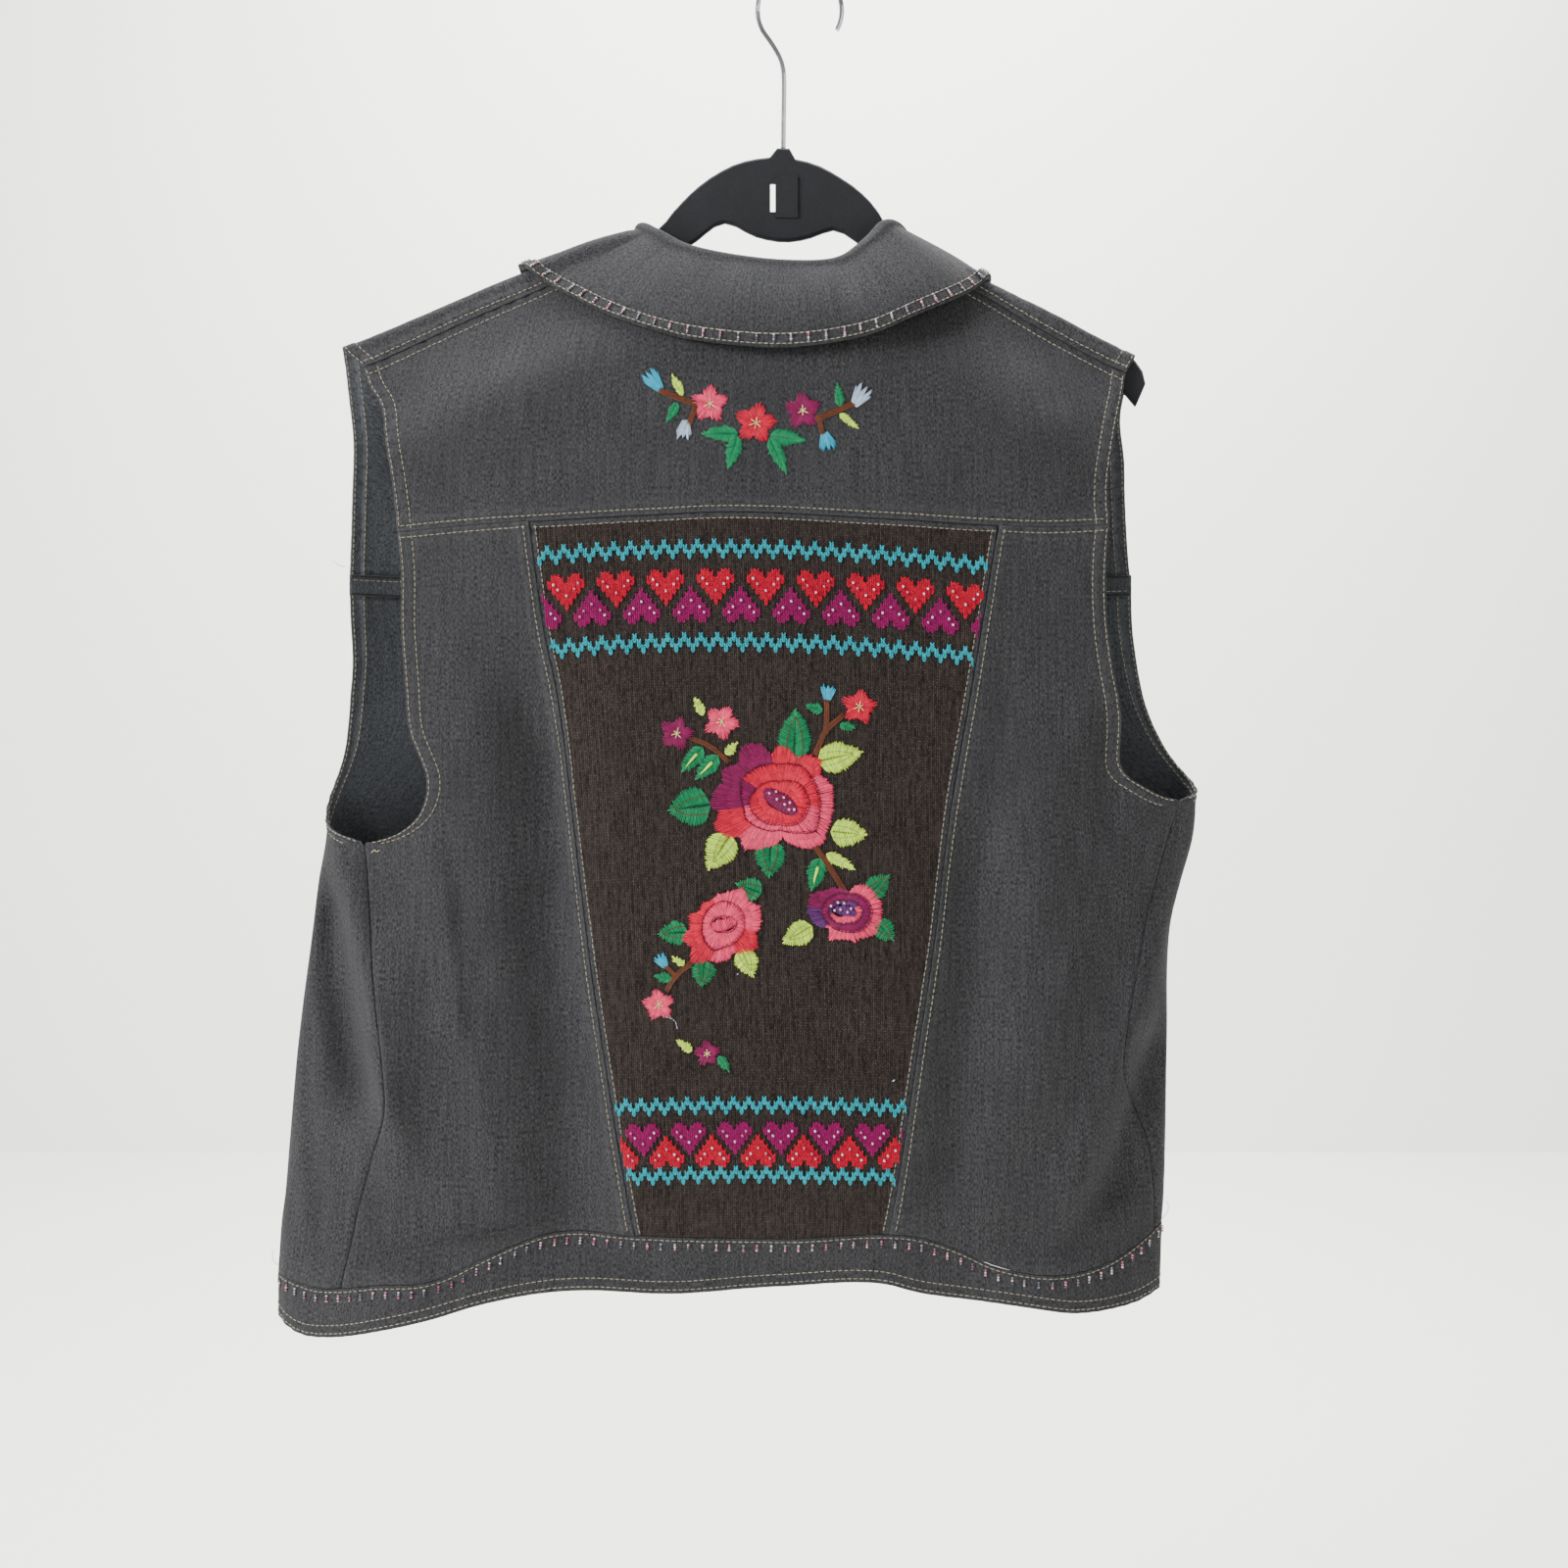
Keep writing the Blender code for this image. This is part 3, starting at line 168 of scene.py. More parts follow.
# Centre and half width of the level section at a height
def sectionAt(z):
    left, right = smoothValue(sections, z, 1), smoothValue(sections, z, 2)
    return (left + right) / 2, (right - left) / 2


# How far the folds and creases stand out
def foldHeight(x, z, side, roundness):
    height = np.zeros_like(x)
    for foldSide, topX, topZ, bottomX, bottomZ, width, rise in folds + creases:
        along = (topZ * mm - z) / ((topZ - bottomZ) * mm)
        centre = (topX + (bottomX - topX) * np.clip(along, 0, 1)) * mm
        ends = smoothStep(along / drape["foldFade"] + 0.5) * smoothStep((1 - along) / drape["foldFade"] + 0.5)
        bulge = rise * mm * np.exp(-((x - centre) / (width * mm)) ** 2)
        height += np.where(side == foldSide, bulge * ends, 0)
    for alongX, alongZ, start, rise in ripples:
        height += rise * mm * np.sin(2 * np.pi * (alongX * x + alongZ * z) + start)
    return height * smoothStep(roundness / drape["foldSideFade"])


# Outer surface of the vest at places given by X, Z and the side
def clothPoint(x, z, side):
    radius = drape["ridgeRadius"]
    below = smoothValue(ridge, x) - z
    centre, half = sectionAt(z)
    roundness = np.sqrt(np.maximum(0, 1 - np.minimum(1, np.abs(x - centre) / half) ** 2))
    depth = np.where(side == back, smoothValue(sections, z, 3), smoothValue(sections, z, 4))
    cap = np.sqrt(np.maximum(0, radius ** 2 - (radius - np.clip(below, 0, radius)) ** 2))
    cap = cap * (1 - smoothStep((-z - drape["ridgeFadeStart"]) / drape["ridgeFadeLength"]))
    opened = depth * roundness * smoothStep(below / drape["openingDepth"])
    y = cap + opened + foldHeight(x, z, side, roundness)
    return np.stack([x, side * y, z], axis=-1)


# Surface at an angle round the section: 0 is the right side, 90 degrees the middle of the front
def roundPlace(angle, z):
    centre, half = sectionAt(z)
    return clothPoint(centre + half * np.cos(angle), z, np.where(np.sin(angle) > 0, front, back))


# Surface at a distance over the shoulder ridge, negative on the back
def overPlace(x, reach):
    radius = drape["ridgeRadius"]
    distance = np.abs(reach)
    quarter = radius * np.pi / 2
    below = np.where(distance < quarter, radius * (1 - np.cos(np.minimum(distance, quarter) / radius)),
                     radius + distance - quarter)
    return clothPoint(x, smoothValue(ridge, x) - below, np.where(reach < 0, back, front))


# Angle round the section for places given by X, Z and the side
def angleOf(x, z, side):
    centre, half = sectionAt(z)
    angle = np.arccos(np.clip((x - centre) / half, -1, 1))
    return np.where(side == front, angle, 2 * np.pi - angle)


# Distance over the shoulder ridge for places given by X, Z and the side
def reachOf(x, z, side):
    radius = drape["ridgeRadius"]
    below = np.maximum(0, smoothValue(ridge, x) - z)
    return side * np.where(below < radius, radius * np.arccos(1 - np.minimum(below, radius) / radius),
                           radius * (np.pi / 2 - 1) + below)


# Surface points and outward directions for arrays of coordinates
def surfaceAt(place, a, b):
    small = 0.4 * mm
    stepA = small * 4 if place is roundPlace else small
    along = place(a + stepA, b) - place(a - stepA, b)
    down = place(a, b - small) - place(a, b + small)
    normals = np.cross(down, along)
    return place(a, b), normals / np.linalg.norm(normals, axis=-1, keepdims=True)


# Seams and edges, each a list of (X, Z) from one end to the other
seams = {
    "shoulderLeft": [(-262, -242.5), (-205, -217), (-148, -192)],
    "shoulderRight": [(112, -200), (150, -222), (196, -245.5)],
    "yoke": [
        (-237, -344), (-199, -341), (-156, -339), (-95, -336), (-32, -334), (42, -337.5), (114, -341),
        (146, -341.5), (182, -339.5),
    ],
    "holeLeftBackUpper": [
        (-262, -242.5), (-258, -254), (-250, -267), (-246, -287), (-241, -313), (-237, -344),
    ],
    "holeLeftBackLower": [
        (-237, -344), (-235, -371), (-234.5, -402), (-232, -433), (-229, -463), (-224, -475),
        (-219, -489), (-220, -501), (-226, -513), (-237, -521.5), (-250, -526), (-258, -527),
    ],
    "holeLeftFrontUpper": [
        (-277, -231), (-275, -256), (-273.5, -280), (-275, -312), (-276, -344), (-276.5, -370),
    ],
    "holeLeftFrontLower": [(-276.5, -370), (-276, -393), (-275, -413), (-276, -434), (-279, -474)],
    "holeRightBackUpper": [
        (196, -245.5), (193, -261), (190, -272), (186, -289), (182, -312), (182, -339.5),
    ],
    "holeRightBackLower": [
        (182, -339.5), (180.5, -360), (180, -380), (181, -399), (184, -422), (187.5, -441),
        (189.5, -456), (189, -470), (189, -479.5), (193, -487), (202, -493), (217, -500),
        (226, -501.5),
    ],
    "holeRightFrontUpper": [
        (203, -235), (196.5, -267), (200, -295), (201, -314), (203, -348), (205, -370),
    ],
    "holeRightFrontLower": [
        (205, -370), (206, -395), (208.5, -415), (212, -435), (218, -455), (227, -474),
    ],
    "princessLeft": [
        (-158.5, -339), (-148.5, -408), (-143, -435), (-134.5, -504), (-125.5, -572), (-117, -630),
        (-104, -708), (-96, -756),
    ],
    "princessRight": [
        (116, -341), (107.5, -391), (100, -435), (88, -504), (78, -582), (67.5, -650), (54.5, -735),
        (51, -756),
    ],
    "sideLeft": [
        (-258, -527), (-252, -579), (-245, -641), (-241, -680), (-250.5, -711), (-262, -751),
        (-270, -789),
    ],
    "sideRight": [
        (226, -501.5), (212, -550), (198, -608), (191.5, -662), (200, -684.5), (208.5, -708),
        (212, -734), (213, -757),
    ],
    "frontPrincessLeft": [(-175, -370), (-166, -450), (-158, -560), (-146, -670), (-138, -757)],
    "frontPrincessRight": [(128, -370), (122, -450), (112, -560), (100, -670), (92, -757)],
    "waistBack": [
        (-315, -786), (-301, -788), (-286, -790), (-269, -788.5), (-247, -784.5), (-219, -782),
        (-204, -777.5), (-184, -768), (-163, -759), (-146, -754), (-94, -753.5), (-9, -755),
        (64, -754.5), (91, -763), (111, -772), (132, -777), (153, -778.5), (175, -776),
        (192, -770.5), (206, -763), (218, -755),
    ],
    "waistFront": [
        (-315, -786), (-290, -781), (-230, -772), (-140, -757), (-12, -754), (90, -757), (170, -764),
        (218, -755),
    ],
    "hemBack": [
        (-315, -811), (-306, -816), (-295, -819), (-277, -818), (-246, -811), (-214, -803),
        (-184, -794), (-146, -787), (-123, -785.5), (-77, -787), (-9, -783.5), (47, -782),
        (70, -788), (111, -794), (138, -798), (161, -801.5), (183, -802), (201, -800),
        (211, -797), (218, -795),
    ],
    "hemFront": [
        (-315, -811), (-290, -812), (-230, -804), (-140, -792), (-12, -787), (90, -789), (170, -796),
        (218, -795),
    ],
}
frontYokeHeight = -370
holeShare = 11 / 24  # part of a side panel's outer edge that the armhole takes
shoulderShares = 5 / 24, 19 / 24  # where the two shoulder seams end along the yoke's upper edge
centreFront = -12
silhouetteHoleLeft, silhouetteHoleRight = -507, -494

# Collar and neckline from the centre front over the left shoulder, round the back and over the right one:
# neckline (X, distance over the ridge), top of the fold (X, Y, Z), outer edge (X, Y, Z)
collarRows = np.array([
    (-13.5, 123.9, -15, 50, -262, -68, 57, -312), (-39, 107.9, -34, 47, -243, -104, 53, -281),
    (-61, 78.9, -57, 39, -207, -134.5, 46, -238), (-81, 47.7, -82, 27, -173, -158, 32, -203),
    (-100, 20.4, -94, 12, -156, -167, 15, -186), (-110, 0, -95.5, 0, -152.4, -168.7, 0, -179),
    (-100, -27.9, -84.5, -10, -160, -140, -16, -199.3), (-78, -40.9, -68, -16, -170, -101, -32, -221.5),
    (-45, -47.9, -43, -21, -177.5, -60.7, -40, -233.7), (-9, -50.9, -9.5, -23, -182.2, -9.5, -44, -238.8),
    (20, -49.4, 21, -21, -180, 36, -42, -232), (48, -43.9, 40, -16, -166, 68, -34, -217.2),
    (70, -26.9, 51, -10, -154, 98, -20, -201), (84, 0, 60, 0, -153.2, 114.7, 0, -187),
    (72, 23.3, 63, 12, -158, 114.4, 14, -193), (60, 45.9, 61, 27, -180, 112.7, 32, -208.2),
    (42, 80.9, 38, 39, -209, 105, 46, -241.5), (18, 108.9, 12, 47, -244, 78, 53, -283),
    (-10.5, 123.9, -9, 50, -262, 44.4, 57, -313.6),
]) * mm
leftShoulderRow, rightShoulderRow = 5, 13
stepsPerRow = [2, 2, 2, 3, 4, 6, 3, 2, 2, 2, 2, 3, 6, 4, 3, 2, 2, 2]
seamReach = -14 * mm
# Thicknesses of the cloth, width of the denim that edges the knit, and gaps between the pieces
cloth = {
    "denim": 1.4 * mm, "knit": 1.8 * mm, "collar": 2.0 * mm, "band": 2.4 * mm, "trim": 1.0 * mm,
    "edging": 4.2 * mm, "seamGap": 0.42 * mm, "layGap": 0.3 * mm,
}


# Turns a seam given by (X, Z) in millimetres into (angle, Z)
def roundLine(points, side):
    line = smoothLine(np.array(points) * mm)
    return np.column_stack([angleOf(line[:, 0], line[:, 1], side), line[:, 1]])


# Turns a seam given by (X, Z) in millimetres into (X, reach)
def overLine(points, side):
    line = smoothLine(np.array(points) * mm)
    return np.column_stack([line[:, 0], reachOf(line[:, 0], line[:, 1], side)])


# Places on a line at shares of its length
def along(line, shares):
    index, wanted = np.arange(len(line)), np.asarray(shares) * (len(line) - 1)
    return np.column_stack([np.interp(wanted, index, column) for column in line.T])


# One line from two, the first taking the given share of the steps
def joinLines(first, second, share):
    steps = 960
    ahead = int(round(steps * share))
    return np.vstack([along(first, np.linspace(0, 1, ahead + 1)),
                      along(second, np.linspace(0, 1, steps - ahead + 1))[1:]])


def waistHeight(x, side):
    return np.where(side == back, smoothValue(np.array(seams["waistBack"]) * mm, x),
                    smoothValue(np.array(seams["waistFront"]) * mm, x))


def hemHeight(x, side):
    return np.where(side == back, smoothValue(np.array(seams["hemBack"]) * mm, x),
                    smoothValue(np.array(seams["hemFront"]) * mm, x))


# Line of (angle, Z) that follows the waist seam or the hem between two angles
def levelLine(firstAngle, lastAngle, heightAt):
    angle = np.linspace(firstAngle, lastAngle, 481)
    side = np.where(np.sin(angle) > 0, front, back)
    z = np.full_like(angle, -760 * mm)
    for _ in range(4):
        centre, half = sectionAt(z)
        z = heightAt(centre + half * np.cos(angle), side)
    return np.column_stack([angle, z])


# Same line with its steps at equal distances in Z
def evenHeights(line):
    wanted = np.linspace(line[0, 1], line[-1, 1], 481)
    return np.column_stack([np.interp(-wanted, -line[:, 1], line[:, 0]), wanted])


# Seam line whose lower end sits on the waist seam
def seamToWaist(points, side):
    endX = points[-1][0]
    return evenHeights(roundLine(points[:-1] + [(endX, float(waistHeight(endX * mm, side)) / mm)], side))


# Smooth values of some columns of the collar's rows at row places
def collarLine(first, last, places):
    keys = np.arange(len(collarRows), dtype=float)
    return np.column_stack([smoothValue(np.column_stack([keys, collarRows[:, column]]), places)
                            for column in range(first, last)])


# Row place at which the neckline meets a shoulder seam, on the back of the ridge
def seamRow(shoulderRow, step):
    places = np.linspace(shoulderRow, shoulderRow + step, 200)
    return float(np.interp(-seamReach, -collarLine(1, 2, places)[:, 0], places))


# Shoulder seam as (X, reach) from the armhole to the neckline
def shoulderLine(points, neckEnd):
    return smoothLine(np.vstack([along(overLine(points, back), np.linspace(0, 1, 41)), [neckEnd]]))


# Shares of a length at an even spacing, with closer places near both ends
def rimShares(length, spacing, rim):
    rim = np.asarray(rim) * mm
    inner = np.linspace(rim[-1], length - rim[-1], max(3, int(round((length - 2 * rim[-1]) / spacing))))
    return np.concatenate([rim[:-1], inner, length - rim[:-1][::-1]]) / length


closeRim = (0, 1.0, 2.2, 3.6, 5.0, 6.0, 6.8, 7.8, 9.5, 12)
panels = {}


# Fills four edge lines with a grid: rows run down, columns from left to right
def patch(edges, columns, rows):
    top, right, bottom, left = edges
    top, bottom = along(top, columns), along(bottom, columns)
    left, right = along(left, rows), along(right, rows)
    v, u = rows[:, None, None], columns[None, :, None]
    across = (1 - u) * left[:, None, :] + u * right[:, None, :]
    down = (1 - v) * top[None, :, :] + v * bottom[None, :, :]
    corners = ((1 - u) * (1 - v) * top[0] + u * (1 - v) * top[-1]
               + (1 - u) * v * bottom[0] + u * v * bottom[-1])
    return across + down - corners


# Distance along the grid's rows or columns from their first point
def travelled(points, axis):
    steps = np.linalg.norm(np.diff(points, axis=axis), axis=-1)
    shape = list(steps.shape)
    shape[axis] = 1
    return np.concatenate([np.zeros(shape), np.cumsum(steps, axis=axis)], axis=axis)


# Sheet of cloth from a grid of points, given its thickness inward by a Solidify modifier
def gridObject(name, points, grain, material, inside, wall, wear=None, edging=None):
    rows, columns, _ = points.shape
    shape = bmesh.new()
    uvLayer = shape.loops.layers.uv.new("UVMap")
    wearLayer = shape.verts.layers.float.new("wear")
    bmesh.ops.create_grid(shape, x_segments=columns - 1, y_segments=rows - 1, size=1, calc_uvs=True)
    for vertex in shape.verts:
        column = int(round((vertex.co.x + 1) / 2 * (columns - 1)))
        row = int(round((1 - vertex.co.y) / 2 * (rows - 1)))
        vertex.co = points[row, column]
        vertex[wearLayer] = 0.05 if wear is None else wear[row, column]
    for face in shape.faces:
        edged = edging is not None
        for loop in face.loops:
            u, v = loop[uvLayer].uv
            column, row = int(round(u * (columns - 1))), int(round((1 - v) * (rows - 1)))
            loop[uvLayer].uv = grain[row, column]
            edged = edged and edging[row, column]
        face.material_index = 2 if edged else 0
    mesh = bpy.data.meshes.new(name)
    shape.to_mesh(mesh)
    shape.free()
    for each in (material, inside) + ((denimOut, denimIn) if edging is not None else ()):
        mesh.materials.append(each)
    mesh.shade_smooth()
    piece = bpy.data.objects.new(name, mesh)
    solidify = piece.modifiers.new("thickness", "SOLIDIFY")
    solidify.thickness = wall
    solidify.offset = -1
    solidify.material_offset = 1
    solidify.material_offset_rim = 0
    return piece


# Keeps a panel's grid, with the shares of its edges at which the columns and rows lie
def keepPanel(name, points, normals, columns=None, rows=None):
    rows = np.linspace(0, 1, points.shape[0]) if rows is None else rows
    columns = np.linspace(0, 1, points.shape[1]) if columns is None else columns
    panels[name] = {"points": points, "normals": normals, "columns": columns, "rows": rows}


# Seams in relief: the layers beside them, the puckers along them and the pressed crease of the side seams
relief = {
    "weltWidth": 6.6 * mm, "weltRise": 0.7 * mm, "weltSlope": 1.3 * mm,
    "pucker": 0.32 * mm, "puckerLength": 9 * mm, "puckerDrift": 31 * mm, "puckerReach": 9 * mm,
    "pressed": 0.8 * mm, "pressedWidth": 1.6 * mm, "pressedReach": 12 * mm, "pressedEase": 0.04,
    "puckerWear": 0.12, "weltWear": 0.14, "weltWearSwing": 0.1, "weltWearWidth": 1.2 * mm,
    "edgeWear": 0.25, "edgeWearWidth": 0.9 * mm, "mostWear": 0.7,
}


# Height of seam layers and puckers, and how far the dye is rubbed off them
def seamRelief(distances, welts):
    raised = np.zeros(distances["top"].shape)
    wear = np.zeros(distances["top"].shape)
    for edge, distance in distances.items():
        lengthwise = distances["top"] if edge in ("left", "right") else distances["left"]
        drift = 2.2 * np.sin(lengthwise / relief["puckerDrift"])
        wave = np.sin(lengthwise / relief["puckerLength"] * 2 * np.pi + drift)
        near = np.exp(-(distance / relief["puckerReach"]) ** 2)
        raised += relief["pucker"] * wave * near
        wear += relief["puckerWear"] * near * (0.5 + 0.5 * wave)
        if edge in welts:
            layer = 1 - smoothStep((distance - relief["weltWidth"]) / relief["weltSlope"])
            raised += relief["weltRise"] * layer
            rubbed = relief["weltWear"] + relief["weltWearSwing"] * wave
            wear += rubbed * np.exp(-((distance - relief["weltWidth"]) / relief["weltWearWidth"]) ** 2)
            wear += relief["edgeWear"] * np.exp(-(distance / relief["edgeWearWidth"]) ** 2)
    return raised, np.clip(wear, 0, relief["mostWear"])


# Lays one panel on the drape, opens its seams, adds its relief and keeps its grid for sewing
def layPanel(name, edges, place, wall, material, inside, spacing=3.2, rims=(closeRim, closeRim), welts=(),
             grainOf=None):
    coarse = np.linspace(0, 1, 30)
    probe, _ = surfaceAt(place, *np.moveaxis(patch(edges, coarse, coarse), -1, 0))
    width = travelled(probe, 1)[:, -1].max()
    height = travelled(probe, 0)[-1].max()
    columns, rows = rimShares(width, spacing * mm, rims[0]), rimShares(height, spacing * mm, rims[1])
    coordinates = patch(edges, columns, rows)
    points, normals = surfaceAt(place, coordinates[..., 0], coordinates[..., 1])
    for edge, inner in (((0, slice(None)), (1, slice(None))), ((-1, slice(None)), (-2, slice(None))),
                        ((slice(None), 0), (slice(None), 1)), ((slice(None), -1), (slice(None), -2))):
        way = points[inner] - points[edge]
        points[edge] += way / np.linalg.norm(way, axis=-1, keepdims=True) * cloth["seamGap"] / 2
    toLeft, toTop = travelled(points, 1), travelled(points, 0)
    distances = {"left": toLeft, "right": toLeft[:, -1:] - toLeft,
                 "top": toTop, "bottom": toTop[-1:] - toTop}
    raised, wear = seamRelief(distances, welts)
    if "_side_" in name:
        outer = "left" if name in ("back_side_left", "front_side_right") else "right"
        below = smoothStep((rows - holeShare) / relief["pressedEase"])[:, None]
        plain = (distances[outer] < relief["pressedReach"]) * below
        raised, wear = raised * (1 - plain), wear * (1 - plain)
        crease = np.exp(-(distances[outer] / relief["pressedWidth"]) ** 2)
        raised = raised - plain * relief["pressed"] * crease
    points = points + normals * raised[..., None]
    middle = points.shape[1] // 2
    sideways = travelled(points, 1)
    sideways = sideways - sideways[:, middle:middle + 1] + points[:, middle:middle + 1, 0]
    grain = np.stack([sideways, points[..., 2]], axis=-1)
    if grainOf is not None:
        grain = grainOf(points[..., 0], points[..., 2])
    edging = None
    if name == "back_center_knit":
        nearest = np.minimum(np.minimum(distances["left"], distances["right"]), distances["top"])
        edging = nearest < cloth["edging"]
    piece = gridObject(name, points, grain, material, inside, wall, wear, edging)
    finishPiece(piece, [name])
    keepPanel(name, points, normals, columns, rows)


# Cotton denim, a 3/1 twill: dark dyed warp outside, pale weft showing as fine flecks and slubs,
# rubbed paler along the seams. Its reverse shows mostly the pale weft. Dry, rough, faint fibre sheen.
def denimMaterial(name, look):
    material, tree, shader = newMaterial(name, {"Roughness": 0.88, "Specular IOR Level": 0.2,
                                                "Sheen Weight": 0.04, "Sheen Roughness": 0.5})
    uv = addNode(tree, "TexCoord", out="UV")
    # The UVs are metres along the cloth, so every scale below is per millimetre
    inMm = addNode(tree, "Mapping", {"Vector": uv, "Scale": (1000, 1000, 1000)})
    tall = addNode(tree, "Mapping", {"Vector": inMm, "Scale": (1.0, 0.42, 1.0)})
    fleck = addNode(tree, "TexNoise", {"Vector": tall, "Scale": 1.15, "Detail": 3.0,
                                       "Roughness": 0.75}, "Fac")
    slub = addNode(tree, "Mapping", {"Vector": inMm, "Scale": (1.0, 0.05, 1.0)})
    streak = addNode(tree, "TexNoise", {"Vector": slub, "Scale": 0.55, "Detail": 2.0}, "Fac")
    fade = addNode(tree, "TexNoise", {"Vector": inMm, "Scale": 0.022, "Detail": 3.0}, "Fac")
    # The real twill line is 0.7 mm; it is drawn at 1.1 mm so that it still shows at the photo's distance
    twill = addNode(tree, "TexWave", {"Vector": inMm, "Scale": 0.57, "Distortion": 0.6, "Detail": 1.0,
                                      "Detail Scale": 2.0}, "Fac", bands_direction="DIAGONAL")
    spread = addNode(tree, "MapRange", {"Value": fleck, "From Min": 0.34, "From Max": 0.7})
    mixed = addNode(tree, "Math", {0: twill, 1: 0.22, 2: spread}, operation="MULTIPLY_ADD")
    mixed = addNode(tree, "Math", {0: streak, 1: 0.55, 2: mixed}, operation="MULTIPLY_ADD")
    level = addNode(tree, "MapRange", {"Value": mixed, "From Min": 0.45, "From Max": 1.65})
    faded = addNode(tree, "MapRange", {"Value": fade, "From Min": 0.35, "From Max": 0.7, "To Max": 0.3})
    wear = addNode(tree, "Attribute", out="Fac", attribute_name="wear")
    base = colour(look["warp"])
    for factor, part in ((level, "weft"), (faded, "faded"), (wear, "rubbed")):
        base = addNode(tree, "Mix", {"Factor": factor, "A": base, "B": colour(look[part])}, "Result",
                       data_type="RGBA")
    tree.links.new(base, shader.inputs["Base Color"])
    height = addNode(tree, "Math", {0: fleck, 1: 0.8, 2: twill}, operation="MULTIPLY_ADD")
    bump = addNode(tree, "Bump", {"Height": height, "Strength": 0.5, "Distance": 0.12 * mm})
    tree.links.new(bump, shader.inputs["Normal"])
    return material


# Marled wool and cotton jersey: columns of V stitches, each a two-ply yarn of near black and brown, its
# colour carrying painted shade between the stitch legs and painted highlight on their crowns
knitGauge = {"column": 2.42, "row": 1.6, "slant": 1.5}  # millimetres, and rows that a leg climbs


def knitMaterial(name, dark, light):
    material, tree, shader = newMaterial(name, {"Roughness": 0.95, "Specular IOR Level": 0.15,
                                                "Sheen Weight": 0.02, "Sheen Roughness": 0.6})
    uv = addNode(tree, "TexCoord", out="UV")
    perMetre = (1000 / knitGauge["column"], 1000 / knitGauge["row"], 1)
    cell = addNode(tree, "Mapping", {"Vector": uv, "Scale": perMetre})
    columns = addNode(tree, "SeparateXYZ", {"Vector": cell}, "X")
    rows = addNode(tree, "SeparateXYZ", {"Vector": cell}, "Y")
    # Each stitch has two legs that lean apart from its middle
    across = addNode(tree, "Math", {0: columns}, operation="FRACT")
    across = addNode(tree, "Math", {0: across, 1: 0.5}, operation="SUBTRACT")
    aside = addNode(tree, "Math", {0: across}, operation="ABSOLUTE")
    lifted = addNode(tree, "Math", {0: aside, 1: -knitGauge["slant"], 2: rows}, operation="MULTIPLY_ADD")
    turn = addNode(tree, "Math", {0: lifted}, operation="FRACT")
    turn = addNode(tree, "Math", {0: turn, 1: math.pi}, operation="MULTIPLY")
    leg = addNode(tree, "Math", {0: turn}, operation="SINE")
    rounded = addNode(tree, "Math", {0: aside, 1: 2 * math.pi}, operation="MULTIPLY")
    rounded = addNode(tree, "Math", {0: rounded}, operation="SINE")
    rounded = addNode(tree, "Math", {0: rounded, 1: 0.6}, operation="POWER")
    leg = addNode(tree, "Math", {0: leg, 1: 0.7, 2: 0.3}, operation="MULTIPLY_ADD")
    height = addNode(tree, "Math", {0: leg, 1: rounded}, operation="MULTIPLY")
    # One shade for each leg, with fuzz in the yarn and slow streaks along the wales
    column = addNode(tree, "Math", {0: columns}, operation="FLOOR")
    row = addNode(tree, "Math", {0: lifted}, operation="FLOOR")
    which = addNode(tree, "Math", {0: across}, operation="SIGN")
    place = addNode(tree, "CombineXYZ", {"X": column, "Y": row, "Z": which})
    chance = addNode(tree, "TexWhiteNoise", {"Vector": place}, "Value", noise_dimensions="3D")
    fuzz = addNode(tree, "TexNoise", {"Vector": cell, "Scale": 5.0, "Detail": 2.0}, "Fac")
    marl = addNode(tree, "Math", {0: chance, 1: fuzz}, operation="MULTIPLY")
    wale = addNode(tree, "Mapping", {"Vector": cell, "Scale": (2.0, 0.07, 1.0)})
    wale = addNode(tree, "TexNoise", {"Vector": wale, "Scale": 1.0, "Detail": 2.0}, "Fac")
    wale = addNode(tree, "MapRange", {"Value": wale, "From Min": 0.35, "From Max": 0.7, "To Max": 0.45})
    marl = addNode(tree, "Math", {0: marl, 1: 0.85, 2: wale}, operation="MULTIPLY_ADD")
    yarn = addNode(tree, "Mix", {"Factor": marl, "A": colour(dark), "B": colour(light)}, "Result",
                   data_type="RGBA")
    # Painted shade and highlight: the stitch height darkens the yarn colour in the hollows between legs and
    # columns and lightens it on their crowns
    shade = addNode(tree, "MapRange", {"Value": height, "To Min": 0.12, "To Max": 1.25})
    yarn = addNode(tree, "Mix", {"Factor": 1.0, "A": yarn, "B": shade}, "Result", data_type="RGBA",
                   blend_type="MULTIPLY")
    tree.links.new(yarn, shader.inputs["Base Color"])
    bump = addNode(tree, "Bump", {"Height": height, "Strength": 0.9, "Distance": 0.5 * mm})
    tree.links.new(bump, shader.inputs["Normal"])
    return material


# Thread, yarn and beads keep a colour per stitch or bead, with a little fibre mottle over it
def tintedMaterial(name, mottleScale, darkest, values):
    material, tree, shader = newMaterial(name, {**values, "Coat Roughness": 0.08})
    tint = addNode(tree, "Attribute", out="Color", attribute_name="tint")
    place = addNode(tree, "TexCoord", out="Object")
    mottle = addNode(tree, "TexNoise", {"Vector": place, "Scale": mottleScale, "Detail": 2.0}, "Fac")
    shade = addNode(tree, "MapRange", {"Value": mottle, "From Min": 0.3, "From Max": 0.7,
                                       "To Min": darkest, "To Max": 1.0})
    worked = addNode(tree, "Mix", {"Factor": 1.0, "A": tint, "B": shade}, "Result", data_type="RGBA",
                     blend_type="MULTIPLY")
    tree.links.new(worked, shader.inputs["Base Color"])
    return material


